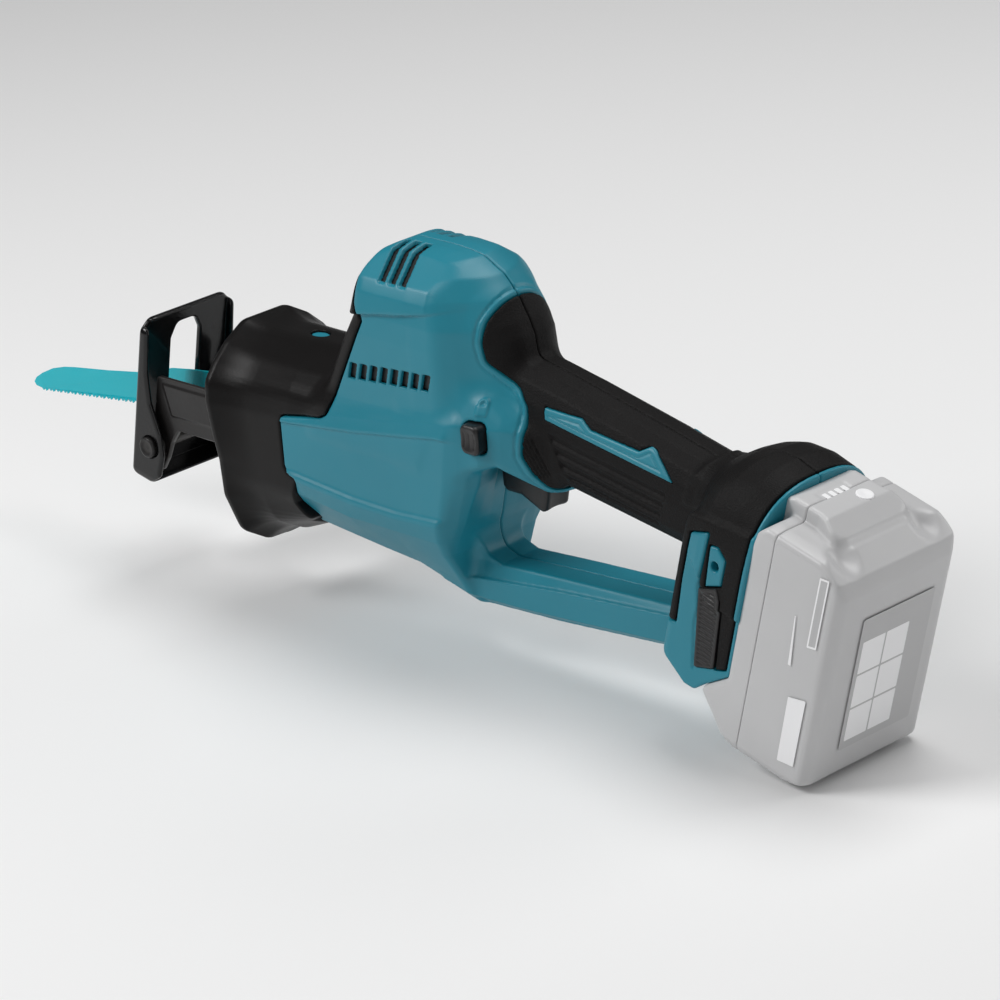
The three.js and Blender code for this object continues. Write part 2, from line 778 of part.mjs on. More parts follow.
// ------------------------------------------------------------------------------- battery pack
const lowerSide = [
  [PACK.rear - 4, PACK.bottom],
  [PACK.rear, PACK.bottom + 4],
  [PACK.rear, 101],
  [-6, 106],
  [PACK.seam + GAP, 106],
  [PACK.seam + GAP, PACK.bottom],
];
const packInside = (x0, x1) =>
  box(x0, x1, PACK.wall - PACK.half, PACK.half - PACK.wall, PACK.bottom + PACK.wall, 103);
const lowerCase = cut(
  block(lowerSide, PACK.half, 3, 0, 2),
  packInside(PACK.seam - 5, PACK.rear - PACK.wall),
);
add(
  "battery_lower_case",
  tilted(lowerCase.intersect(box(PACK.seam + GAP, 9, -60, 60, -9, 200))),
  FINISH.pale,
);
const upperSide = [
  [PACK.seam, PACK.bottom],
  [PACK.seam, 106],
  [-48, 104],
  [-48, 28],
  [-63.6, 18.2],
  [-48, -1.5],
];
const GAUGE = { x: -30, y: 8, radius: 4, low: 111.3 };
const latchRoom = box(-58, -38, -14.3, 14.3, -9, 14);
const upperCase = cut(
  join(
    plate(upperSide, -PACK.half, PACK.half),
    box(-54.4, -46, -27, 27, 16, 100),
    box(-64, -54.4, -31, 31, 20, 100),
    plate(
      [
        [PACK.seam, 100],
        [-24, 107],
        [-24, 113],
        [-27, 114],
        [-46, 112.5],
        [-48, 109],
        [-48, 100],
      ],
      -18,
      18,
    ),
  ),
  packInside(-46, -20),
  box(-39, -20, -40, 40, 106, 106.4),
  box(-36.9, -20, -60, 60, -5, 106.3),
  latchRoom,
  ...sides.map((side) => box(-70, -55, side * 20 - 1.6, side * 20 + 1.6, 58, 110)),
  rod("z", GAUGE.low - 1.5, 120, GAUGE.x, GAUGE.y, GAUGE.radius + GAP, 20),
);
add("battery_upper_case", tilted(upperCase), FINISH.pale);
add("battery_latch_button", tilted(box(-52, -43, -14, 14, -3.5, 9.6)), FINISH.black);
add(
  "gauge_button",
  tilted(rod("z", GAUGE.low, 114.2, GAUGE.x, GAUGE.y, GAUGE.radius, 20)),
  FINISH.pale,
);
add("battery_board", tilted(box(-45, -42.6, -30, 30, 24, 100)), FINISH.board);
for (let layer = 0; layer < 2; layer++) {
  for (let row = 0; row < 5; row++) {
    const x = -11.8 - layer * CELL.pitch;
    const z = 12.4 + row * CELL.pitch;
    const cell = rod("y", -CELL.length / 2, CELL.length / 2, x, z, CELL.radius, 16);
    add(`battery_cell_${layer * 5 + row + 1}`, tilted(cell), FINISH.cell);
  }
}

// -------------------------------------------------------------------------------------- place
// The origin is the middle of the saw's footprint, at its lowest point.
const bounds = new THREE.Box3().setFromObject(saw);
const middle = bounds.getCenter(new THREE.Vector3());
saw.position.set(-middle.x, -middle.y, -bounds.min.z);

const part = new THREE.Group();
part.add(saw);
export default part;
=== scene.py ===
"""A cordless reciprocating saw: its moulded shells, soft grips, shoe, blade and battery pack.

The moulded pieces are drawn as distance fields in the saw's drawing frame, in millimetres: the blade
points to -X, the battery is at +X, +Z is up and the stroke runs along X at y = 0. The battery and the
foot that holds it are drawn in the battery's own frame: x from its rear face, z up its long side.
"""
import functools
import math

import bpy
import numpy as np
import openvdb
from mathutils import Matrix, Vector


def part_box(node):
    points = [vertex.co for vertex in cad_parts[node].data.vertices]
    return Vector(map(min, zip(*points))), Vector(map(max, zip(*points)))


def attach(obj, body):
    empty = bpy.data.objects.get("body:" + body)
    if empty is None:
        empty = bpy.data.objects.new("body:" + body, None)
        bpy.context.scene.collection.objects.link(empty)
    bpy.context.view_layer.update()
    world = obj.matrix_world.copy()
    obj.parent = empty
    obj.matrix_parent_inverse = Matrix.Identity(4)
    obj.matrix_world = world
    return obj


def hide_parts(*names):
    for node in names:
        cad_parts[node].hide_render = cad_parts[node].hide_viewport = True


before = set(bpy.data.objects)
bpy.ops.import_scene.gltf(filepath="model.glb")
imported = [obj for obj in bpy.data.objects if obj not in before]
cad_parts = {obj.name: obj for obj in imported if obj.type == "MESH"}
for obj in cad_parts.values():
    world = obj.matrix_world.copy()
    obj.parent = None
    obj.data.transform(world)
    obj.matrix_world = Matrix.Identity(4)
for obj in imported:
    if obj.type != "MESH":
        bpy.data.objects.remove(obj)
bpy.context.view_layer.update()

MM = 0.001
STEP = 0.6  # spacing of the sample points of the big mouldings
FINE = 0.4  # and of the small ones
CHART_STEP = 0.5  # spacing of the flat grid that charted() looks up
SEAM = 0.12  # each half of a moulding stops this far from the middle plane
WALL = 2.8
SKIN = 2.4
SIDES = {"left": -1, "right": 1}

# The drawing frame is the CAD frame moved so that the shoe's hinge pin is at PIVOT.
PIVOT = (-415.0, 61.0)
pin_low, pin_high = (Vector(corner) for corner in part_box("shoe_pivot_pin"))
pin_middle = (pin_low + pin_high) / 2 / MM
SHIFT = Vector((pin_middle.x - PIVOT[0], 0, pin_middle.z - PIVOT[1]))
DRAWING = Matrix.Scale(MM, 4) @ Matrix.Translation(SHIFT)
TILT = math.radians(16.1)
BATTERY = DRAWING @ Matrix.Rotation(TILT, 4, "Y")
SHOE_LEAN = math.radians(12.3)
SHOE = DRAWING @ Matrix.Translation((PIVOT[0], 0, PIVOT[1])) @ Matrix.Rotation(SHOE_LEAN, 4, "Y")


# ------------ distance fields
class Space:
    """The sample points of a box, as arrays that broadcast against each other."""

    def __init__(self, low, high, step):
        self.low, self.step = np.array(low, float), step
        spans = [np.arange(a, b + step, step, dtype=np.float32) for a, b in zip(low, high)]
        self.x = spans[0][:, None, None]
        self.y = spans[1][None, :, None]
        self.z = spans[2][None, None, :]
        self.side = np.abs(self.y)


def filleted(points, radius, pieces=4):
    """A closed outline with each corner turned into a curve."""
    corners = [Vector(p) for p in points]
    curve = []
    for i, here in enumerate(corners):
        back = corners[i - 1] - here
        ahead = corners[(i + 1) % len(corners)] - here
        half = max(back.angle(ahead) / 2, 0.05)
        reach = min(radius / math.tan(half), 0.48 * back.length, 0.48 * ahead.length)
        start = here + back.normalized() * reach
        end = here + ahead.normalized() * reach
        for k in range(pieces + 1):
            t = k / pieces
            curve.append(start * (1 - t) ** 2 + here * (2 * t * (1 - t)) + end * t**2)
    return [tuple(p) for p in curve]


def outline(points, u, v):
    """Signed distance from (u, v) to a closed outline, negative inside."""
    shape = np.broadcast(u, v).shape
    square = np.full(shape, 1e9, np.float32)
    inside = np.zeros(shape, bool)
    for (au, av), (bu, bv) in zip(points, points[1:] + points[:1]):
        du, dv = bu - au, bv - av
        along = np.clip(((u - au) * du + (v - av) * dv) / max(du * du + dv * dv, 1e-9), 0, 1)
        np.minimum(square, (u - au - du * along) ** 2 + (v - av - dv * along) ** 2, out=square)
        if av != bv:
            inside ^= ((av > v) != (bv > v)) & (u < du * (v - av) / dv + au)
    return np.where(inside, -1, 1).astype(np.float32) * np.sqrt(square)


def charted(points, u, v):
    """The same distance for big arrays: found on a flat grid first, then read off between its points."""
    low_u, low_v = float(u.min()), float(v.min())
    chart_u = np.arange(low_u, float(u.max()) + 2 * CHART_STEP, CHART_STEP, dtype=np.float32)
    chart_v = np.arange(low_v, float(v.max()) + 2 * CHART_STEP, CHART_STEP, dtype=np.float32)
    chart = outline(points, chart_u[:, None], chart_v[None, :])
    a, b = (u - low_u) / CHART_STEP, (v - low_v) / CHART_STEP
    i, j = a.astype(np.int32), b.astype(np.int32)
    a, b = a - i, b - j
    low = chart[i, j] * (1 - a) + chart[i + 1, j] * a
    high = chart[i, j + 1] * (1 - a) + chart[i + 1, j + 1] * a
    return (low * (1 - b) + high * b).astype(np.float32)


def line(points, u, v):
    """Distance from (u, v) to an open line."""
    square = np.full(np.broadcast(u, v).shape, 1e9, np.float32)
    for (au, av), (bu, bv) in zip(points, points[1:]):
        du, dv = bu - au, bv - av
        along = np.clip(((u - au) * du + (v - av) * dv) / (du * du + dv * dv), 0, 1)
        np.minimum(square, (u - au - du * along) ** 2 + (v - av - dv * along) ** 2, out=square)
    return np.sqrt(square)


def join(a, b, soft=0.0):
    """Either of two fields, the corner between them filled by about soft."""
    if not soft:
        return np.minimum(a, b)
    near = np.maximum(soft - np.abs(a - b), 0)
    return np.minimum(a, b) - near * near / (4 * soft)


def meet(a, b, soft=0.0):
    """What is in both fields, the edge between them rounded by about soft."""
    return -join(-a, -b, soft)


def cut(a, b, soft=0.0):
    return meet(a, -b, soft)


def inside_all(*fields):
    """What is in every one of the fields, its edges left sharp."""
    return functools.reduce(np.maximum, fields)


def within(u, middle, half):
    """A band that reaches half on each side of middle."""
    return np.abs(u - middle) - half


def disc(u, v, radius):
    """A circle round u = v = 0."""
    return np.sqrt(u**2 + v**2) - radius


def slab(flat, half, depth, rounding):
    """A flat outline as thick as half on each side of depth 0, its long edges rounded."""
    a = flat + rounding
    b = depth - half + rounding
    outside = np.sqrt(np.maximum(a, 0) ** 2 + np.maximum(b, 0) ** 2)
    return outside + np.minimum(np.maximum(a, b), 0) - rounding


def ramp(u, *pairs):
    """A value that runs straight from pair to pair of (u, value)."""
    at, values = zip(*pairs)
    return np.interp(u, at, values).astype(np.float32)


def battery_axes(s):
    """x and z of the sample points in the battery's frame."""
    x = s.x * math.cos(TILT) - s.z * math.sin(TILT)
    z = s.x * math.sin(TILT) + s.z * math.cos(TILT)
    return x, z


# ------------ meshes
def new_object(name, mesh, material):
    mesh.materials.append(material)
    piece = bpy.data.objects.new(name, mesh)
    bpy.context.scene.collection.objects.link(piece)
    return piece


def faced(name, points, faces, place, material):
    """A mesh from its points and faces."""
    mesh = bpy.data.meshes.new(name)
    mesh.from_pydata(points, [], faces)
    mesh.transform(place)
    return new_object(name, mesh, material)


def surface(name, s, field, place, material, mirror=False):
    """The surface where a field is zero, as a smooth mesh."""
    band = 3 * s.step
    grid = openvdb.FloatGrid(band)
    grid.copyFromArray(np.clip(field, -band, band).astype(np.float32))
    points, _, quads = grid.convertToPolygons(isovalue=0.0, adaptivity=0.0)
    points = points * s.step + s.low
    if mirror:
        points[:, 1] *= -1
        quads = quads[:, ::-1]
    mesh = bpy.data.meshes.new(name)
    mesh.vertices.add(len(points))
    mesh.vertices.foreach_set("co", points.astype(np.float32).ravel())
    mesh.loops.add(quads.size)
    mesh.loops.foreach_set("vertex_index", quads.astype(np.int32).ravel())
    mesh.polygons.add(len(quads))
    mesh.polygons.foreach_set("loop_start", np.arange(0, quads.size, 4, dtype=np.int32))
    mesh.polygons.foreach_set("use_smooth", np.ones(len(quads), bool))
    mesh.update(calc_edges=True)
    mesh.transform(place)
    return new_object(name, mesh, material)


def settle(piece, body, slot, *nodes):
    """Puts a piece on the body it rides on and hides the CAD nodes it stands for. The slot argument is not
    used.
    """
    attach(piece, body)
    if nodes:
        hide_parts(*nodes)


# ------------ materials
def shader(name, roughness, metallic=0.0, coat=0.0):
    """A new material, its nodes, and the Principled shader it ends in."""
    material = bpy.data.materials.new(name)
    material.use_nodes = True
    principled = material.node_tree.nodes["Principled BSDF"]
    principled.inputs["Roughness"].default_value = roughness
    principled.inputs["Metallic"].default_value = metallic
    principled.inputs["Coat Weight"].default_value = coat
    return material, principled


def wire(material, source, socket):
    material.node_tree.links.new(source, socket)


def texture(material, kind, scale, **settings):
    """A procedural texture in object space, its scale in cycles per metre."""
    nodes, links = material.node_tree.nodes, material.node_tree.links
    place = nodes.new("ShaderNodeTexCoord")
    made = nodes.new(kind)
    made.inputs["Scale"].default_value = scale
    for key, value in settings.items():
        made.inputs[key].default_value = value
    links.new(place.outputs["Object"], made.inputs["Vector"])
    return made


def mapped(material, source, low, high):
    """A texture's 0 to 1 spread over low to high."""
    spread = material.node_tree.nodes.new("ShaderNodeMapRange")
    spread.inputs["From Min"].default_value = 0.25
    spread.inputs["From Max"].default_value = 0.75
    spread.inputs["To Min"].default_value = low
    spread.inputs["To Max"].default_value = high
    wire(material, source, spread.inputs["Value"])
    return spread.outputs["Result"]


def bumped(material, principled, layers):
    """Bump from pairs of a height output and its depth in metres."""
    last = None
    for height, depth in layers:
        bump = material.node_tree.nodes.new("ShaderNodeBump")
        bump.inputs["Strength"].default_value = 1.0
        bump.inputs["Distance"].default_value = depth
        wire(material, height, bump.inputs["Height"])
        if last is not None:
            wire(material, last, bump.inputs["Normal"])
        last = bump.outputs["Normal"]
    wire(material, last, principled.inputs["Normal"])


def tinted(material, principled, factor, dark, light):
    """Base colour from dark to light by a factor."""
    mix = material.node_tree.nodes.new("ShaderNodeMix")
    mix.data_type = "RGBA"
    mix.inputs["A"].default_value = (*dark, 1)
    mix.inputs["B"].default_value = (*light, 1)
    wire(material, factor, mix.inputs["Factor"])
    wire(material, mix.outputs["Result"], principled.inputs["Base Color"])


def worn_edges(material):
    """A factor that rises on sharp outer edges."""
    geometry = material.node_tree.nodes.new("ShaderNodeNewGeometry")
    spread = material.node_tree.nodes.new("ShaderNodeMapRange")
    spread.inputs["From Min"].default_value = 0.51
    spread.inputs["From Max"].default_value = 0.6
    wire(material, geometry.outputs["Pointiness"], spread.inputs["Value"])
    return spread.outputs["Result"]


def moulded_plastic(name, dark, light, roughness, spark=3200, depth=0.00003, coat=0.0):
    """Hard plastic with a fine spark-eroded grain and slow changes of shade."""
    material, principled = shader(name, roughness, coat=coat)
    shade = texture(material, "ShaderNodeTexNoise", 14, Detail=3)
    tinted(material, principled, mapped(material, shade.outputs["Fac"], 0, 1), dark, light)
    grain = texture(material, "ShaderNodeTexNoise", spark, Detail=2)
    handling = texture(material, "ShaderNodeTexNoise", 60, Detail=4)
    gloss = mapped(material, handling.outputs["Fac"], roughness - 0.04, roughness + 0.05)
    wire(material, gloss, principled.inputs["Roughness"])
    bumped(material, principled, [(grain.outputs["Fac"], depth)])
    return material


def soft_rubber(name, dark, light, roughness, cells, depth):
    """Overmoulded rubber with a leather-like grain of small cells."""
    material, principled = shader(name, roughness)
    principled.inputs["Specular IOR Level"].default_value = 0.14
    grain = texture(material, "ShaderNodeTexVoronoi", cells)
    fine = texture(material, "ShaderNodeTexNoise", cells * 2.2, Detail=2)
    shade = texture(material, "ShaderNodeTexNoise", 22, Detail=4)
    tinted(material, principled, mapped(material, shade.outputs["Fac"], 0, 1), dark, light)
    gloss = mapped(material, fine.outputs["Fac"], roughness - 0.07, roughness + 0.06)
    wire(material, gloss, principled.inputs["Roughness"])
    bumped(material, principled, [(grain.outputs["Distance"], depth), (fine.outputs["Fac"], depth * 0.5)])
    return material


def metal(name, dark, light, roughness, streak=(1, 1, 1), depth=0.00001, metallic=1.0):
    """Metal with fine streaks along an axis and uneven gloss."""
    material, principled = shader(name, roughness, metallic)
    nodes, links = material.node_tree.nodes, material.node_tree.links
    place = nodes.new("ShaderNodeTexCoord")
    stretch = nodes.new("ShaderNodeMapping")
    stretch.inputs["Scale"].default_value = streak
    links.new(place.outputs["Object"], stretch.inputs["Vector"])
    scratches = nodes.new("ShaderNodeTexNoise")
    scratches.inputs["Scale"].default_value = 900
    scratches.inputs["Detail"].default_value = 3
    links.new(stretch.outputs["Vector"], scratches.inputs["Vector"])
    tinted(material, principled, mapped(material, scratches.outputs["Fac"], 0, 1), dark, light)
    gloss = mapped(material, scratches.outputs["Fac"], roughness - 0.06, roughness + 0.1)
    links.new(gloss, principled.inputs["Roughness"])
    bumped(material, principled, [(scratches.outputs["Fac"], depth)])
    return material


def coated_metal(name, coat_colour, bare_colour, roughness):
    """Coated steel with a faint orange-peel surface, its coat thinner on sharp edges."""
    material, principled = shader(name, roughness, 0.0, coat=0.12)
    principled.inputs["Specular IOR Level"].default_value = 0.3
    tinted(material, principled, worn_edges(material), coat_colour, bare_colour)
    peel = texture(material, "ShaderNodeTexNoise", 420, Detail=2)
    smear = texture(material, "ShaderNodeTexNoise", 45, Detail=4)
    gloss = mapped(material, smear.outputs["Fac"], roughness - 0.05, roughness + 0.09)
    wire(material, gloss, principled.inputs["Roughness"])
    bumped(material, principled, [(peel.outputs["Fac"], 0.00006)])
    return material


TEAL = moulded_plastic("teal_plastic", (0.005, 0.190, 0.262), (0.008, 0.216, 0.294), 0.42)
GRIP = soft_rubber("soft_grip", (0.0042, 0.0038, 0.0038), (0.0072, 0.0065, 0.0065), 0.52, 1500, 0.00016)
NOSE = soft_rubber("nose_rubber", (0.0050, 0.0046, 0.0046), (0.0080, 0.0073, 0.0073), 0.36, 2400, 0.00004)
BLACK = moulded_plastic("black_plastic", (0.005, 0.0045, 0.005), (0.009, 0.008, 0.0085), 0.38)
GLOSS = coated_metal("shoe_coat", (0.0030, 0.0030, 0.0034), (0.016, 0.016, 0.017), 0.20)
GUNMETAL = coated_metal("gunmetal", (0.011, 0.010, 0.010), (0.09, 0.085, 0.08), 0.36)
PIN = coated_metal("pin_steel", (0.012, 0.011, 0.011), (0.07, 0.065, 0.06), 0.42)
BLADE = coated_metal("blade_paint", (0.002, 0.42, 0.50), (0.01, 0.52, 0.60), 0.36)
PALE = moulded_plastic("pale_plastic", (0.51, 0.51, 0.515), (0.57, 0.57, 0.575), 0.34, 2600, 0.00002)
LABEL = moulded_plastic("label_film", (0.86, 0.86, 0.87), (0.90, 0.90, 0.91), 0.45, 900, 0.000004)
PRINT = moulded_plastic("label_panel", (0.46, 0.46, 0.465), (0.50, 0.50, 0.505), 0.42, 900, 0.000004)
STEEL = metal("ground_steel", (0.36, 0.37, 0.38), (0.60, 0.61, 0.62), 0.28, (1, 12, 12))
CAST = metal("die_cast", (0.40, 0.41, 0.42), (0.52, 0.53, 0.54), 0.46, (1, 1, 1), 0.00004)
BRONZE = metal("sintered_bronze", (0.42, 0.27, 0.10), (0.60, 0.41, 0.17), 0.40, (1, 1, 1), 0.00003)
COPPER = metal("motor_windings", (0.33, 0.13, 0.05), (0.58, 0.26, 0.11), 0.35, (1, 1, 9), 0.00008)
BOARD = moulded_plastic("potted_board", (0.010, 0.085, 0.030), (0.020, 0.13, 0.05), 0.4, 700, 0.0001)
CELL_SLEEVE = moulded_plastic("cell_sleeve", (0.03, 0.22, 0.10), (0.05, 0.30, 0.14), 0.35, 300, 0.00002)


# ------------ main body mouldings
DOME_SIDE = filleted(
    [(-298, 96), (-273, 143), (-262.5, 160), (-254, 184.4), (-246, 187.8), (-216, 187.6), (-205.8, 186.4),
     (-194.4, 180.8), (-185.4, 171.8), (-178, 160), (-176, 140), (-176, 112), (-200, 96)], 6)
DOME_ACROSS = filleted(
    [(-50, 80), (36, 80), (36, 150), (34.7, 160), (31.8, 170.2), (28.6, 175.4), (14.9, 185.6), (6, 188.2),
     (-50, 189.8)], 1.6)
DOME_PLAN = filleted(
    [(-320, -50), (-320, 36), (-222, 36), (-206, 34), (-194, 28), (-186, 17.5), (-182.5, 6),
     (-182.5, -50)], 18)
DOME_BEND = 36  # the rear of the dome comes forward by the square of |y| over this
CHEEK_SIDE = filleted(
    [(-232, 90), (-232, 138), (-200, 137), (-184, 130.5), (-172, 123.5), (-162.5, 115), (-158.5, 108),
     (-154, 99), (-156, 90), (-166, 94), (-180, 101), (-196, 95.6), (-206, 91.6)], 4)
CHEEK_WIDTH = (
    (-216, 31), (-206, 32.6), (-198, 32.8), (-187, 31.5), (-176, 27.5), (-166, 22.5), (-155, 15.5))
CHEEK_TOP = 119  # above this height the cheeks slope in
CHEEK_SLOPE = 0.42
REAR_SIDE = filleted(
    [(-206, 118), (-206, 160), (-196, 171.6), (-188, 168.6), (-181.4, 162.4), (-177.4, 156), (-176.2, 147),
     (-172, 120)], 5)
REAR_HALF = 20.5
HANDLE_TOP = (
    (-186, 146), (-171, 144.6), (-160, 142.6), (-150, 140.4), (-100, 128.8), (-66, 120), (-45, 114))
HANDLE_BOTTOM = ((-186, 103), (-168, 95.5), (-160, 91), (-148, 92.6), (-83, 82), (-45, 77))
# The handle's section, |y| against a height that runs from 0 at its bottom to 45 at its top.
HANDLE_SECTION = filleted(
    [(-30, 0), (9, 0), (14.5, 3.2), (17.4, 9.5), (17.9, 22), (17.2, 33), (14.2, 40.4), (8, 44.4), (0, 45),
     (-30, 45)], 3)
HANDLE_HEIGHT = 45
BARREL_REAR = ((52, -213.5), (62, -211), (68, -209), (86.5, -205.2), (99, -203.2), (111, -201.2))
BARREL_PLAN = filleted(
    [(-130, -50), (-130, 50), (-4, 50), (0, 35.8), (6.4, 30.4), (9.4, 25), (8, 16), (5.5, 8), (4, 0),
     (4, -50)], 3)
# How far the rounded rear corners reach back at each |y|, and the share of that at each height.
CORNER_REACH = ((0, 4), (8, 5.5), (16, 8), (25, 9.4), (30.4, 6.4), (35.8, 0))
CORNER_SHARE = ((50, -0.45), (71, -0.15), (93, 0.25), (105, 0.35))
# Low down the rear is a plainer, swept face; the last line is its share at each height.
SWEPT_REACH = 3.5
SWEPT_SLOPE = 0.15
SWEPT_SHARE = ((52, 0.9), (70, 0.4), (88, 0))
BARREL_SIDE = filleted(
    [(-317, 38), (-317, 104), (-288, 116), (-205, 128), (-190, 112), (-190, 92), (-194, 84), (-199, 74),
     (-203.5, 62), (-208, 52), (-206, 32), (-211, 25.4), (-226, 28), (-245, 32.5)], 4)
GUARD_SIDE = filleted(
    [(-226, 32), (-208, 26.2), (-160, 28.2), (-98, 32.6), (-60, 37.4), (-60, 56), (-88.5, 52.8),
     (-160.8, 49.2), (-197, 47), (-205, 50), (-211, 58), (-226, 58)], 4)
# In the battery's frame: the foot that holds the battery, and how its hood opens out towards it.
FOOT_REAR = -47.8
FOOT_SIDE = filleted(
    [(FOOT_REAR, 29.2), (-60, 18.4), (-65.3, 12.8), (-71, 12.6), (-82, 18.8), (-91.7, 24), (-91.7, 66),
     (-90, 80), (-84, 92), (FOOT_REAR, 98)], 2)
HOOD_WIDTH = ((-98, 15), (-92, 20), (-87, 28.5), (-82, 34.8), (-76, 37.4), (-60, 38.2), (-47, 38.8))
HOOD_TOP = ((-98, 99), (-92, 102.5), (-86, 108.2), (-80, 112.6), (-72, 116.6), (-61, 118.6), (-47, 117))
HOOD_LEVEL = 72


def levels(z, *pairs):
    """A value that runs straight between heights, where the heights may change along x."""
    value = np.full(np.broadcast(z, pairs[0][0]).shape, pairs[0][1], np.float32)
    for (low, a), (high, b) in zip(pairs, pairs[1:]):
        value += (b - a) * np.clip((z - low) / (high - low), 0, 1)
    return value


def barrel(s):
    """The gear housing behind the nose, with a flat between two creases on each side."""
    upper = ramp(s.x, (-308, 98.9), (-262.7, 103.8), (-221.9, 109.8), (-207.7, 112))
    lower = ramp(s.x, (-303.6, 72.2), (-266.3, 68.9), (-237.7, 68.3), (-211.8, 69.8))
    crease = ramp(s.x, (-305, 63.5), (-272, 59.6), (-215, 59.6))
    under = ramp(s.x, (-317, 43.6), (-273, 39.4), (-245, 37.1), (-226, 32.2), (-206, 27.4))
    width = levels(
        s.z, (under - 6, 6), (under + 2, 17.4), (crease, 33.4), (lower - 1, 36.8), (lower + 1, 36.8),
        (lower + 3, 35.4), (upper - 1.4, 35.4), (upper - 0.4, 36.6), (upper + 0.6, 36.6), (upper + 6, 34.4),
        (upper + 14, 28))
    side = (s.side - width) * 0.9
    flat = outline(BARREL_SIDE, s.x, s.z)
    reach = ramp(s.z, *CORNER_SHARE) * ramp(s.side, *CORNER_REACH)
    plan = charted(BARREL_PLAN, s.x - ramp(s.z, *BARREL_REAR) - reach, s.side)
    swept = s.x - ramp(s.z, *BARREL_REAR) - SWEPT_REACH + SWEPT_SLOPE * s.side
    plan = plan + (swept - plan) * ramp(s.z, *SWEPT_SHARE)
    return meet(meet(side, flat, 2.5), plan, 3)


def dome(s):
    """The motor's housing, with the cap that stands a little proud of it."""
    bend = s.side**2 / DOME_BEND * ramp(s.x, (-235, 0), (-212, 1))
    side = charted(DOME_SIDE, s.x + bend, s.z)
    across = outline(DOME_ACROSS, s.side, s.z)
    plan = outline(DOME_PLAN, s.x, s.side)
    front = ramp(s.z, (90, -302), (143, -273), (160, -262.5), (185, -254), (200, -249))
    corner = (front - s.x + s.side - 28.5) * 0.707
    body = meet(meet(meet(side, across, 2.4), plan, 8), corner, 4)
    rim = 160.4 + (s.x + 249.8) * 0.157  # the cap's lower edge
    lift = 1.3 * ramp(s.x, (-225, 1), (-196, 0)) * np.ones_like(rim)
    cap = meet(body - lift, rim - s.z, 1.2)
    lower = body + 0.9 * np.clip((s.z - 112) / 6, 0, 1) * ramp(s.x, (-225, 1), (-205, 0))
    return join(lower, cap, 0.4)


def handle(s):
    """The grip, and the swell behind the dome that it grows from."""
    bottom = ramp(s.x, *HANDLE_BOTTOM)
    share = (s.z - bottom) / (ramp(s.x, *HANDLE_TOP) - bottom)
    section = charted(HANDLE_SECTION, s.side, share * HANDLE_HEIGHT)
    grip = meet(section, np.maximum(-186 - s.x, s.x + 45), 4)
    rear = slab(outline(REAR_SIDE, s.x, s.z), REAR_HALF, s.side, 15)
    return join(grip, rear, 5)


def guard(s):
    """The bar that closes the hand opening from below."""
    ridge = ramp(s.x, (-197, 47), (-160.8, 49.2), (-88.5, 52.8))
    band = ramp(s.x, (-207.7, 38.8), (-182, 41.3), (-159.3, 43.8), (-88.5, 49))
    under = ramp(s.x, (-226, 32.2), (-206, 27.4), (-186, 28), (-160, 29.4), (-98, 33.4), (-70, 37))
    width = levels(s.z, (under, 12.6), (under + 2, 15), (band, 15.8), (band + 0.9, 14.2), (ridge, 12.2))
    return meet((s.side - width) * 0.93, outline(GUARD_SIDE, s.x, s.z), 1.2)


def hood(s):
    """The bell-shaped top of the foot, and its straight sides."""
    bx, bz = battery_axes(s)
    width = ramp(bx, *HOOD_WIDTH)
    rise = ramp(bx, *HOOD_TOP) - HOOD_LEVEL
    up = np.maximum(bz - HOOD_LEVEL, 0) / rise
    round_top = ((s.side / width) ** 2.7 + up**2.7) ** (1 / 2.7)
    bell = (round_top - 1) * np.minimum(width, rise) * 0.9
    ends = np.maximum(bx - FOOT_REAR, -99 - bx)
    floor = 58 + 26 * np.clip((-66 - bx) / 22, 0, 1) - bz
    return meet(bell, np.maximum(ends, floor), 0.8)


def foot(s):
    """The block that holds the battery, under its bell-shaped hood."""
    bx, bz = battery_axes(s)
    block = slab(outline(FOOT_SIDE, bx, bz), 36.8, s.side, 1.2)
    corner = (-85 - bx) * 0.785 + (s.side - 36.5) * 0.62
    return join(meet(block, corner, 2), hood(s), 3)


def body(s):
    """The whole outside of the mouldings, both halves."""
    width = ramp(s.x, *CHEEK_WIDTH) - CHEEK_SLOPE * np.maximum(s.z - CHEEK_TOP, 0)
    cheek = meet(s.side - width, outline(CHEEK_SIDE, s.x, s.z), 5)
    upper = join(join(dome(s), cheek, 6), handle(s), 8)
    lower = join(barrel(s), guard(s), 6)
    return join(join(upper, lower, 4), foot(s), 7)


# ------------ which material covers the body
GRIP_EDGE = filleted(
    [(-180, 210), (-186, 173), (-188.8, 164), (-189.6, 155), (-188, 146.5), (-180, 140), (-172.6, 135),
     (-168.2, 129), (-166.6, 120), (-167.8, 108), (-163.4, 99.4), (-157.5, 93.4), (-152.5, 92.6),
     (-148.4, 96), (-145, 82), (-84, 70), (-60, 60), (-40, 60), (-40, 210)], 6)
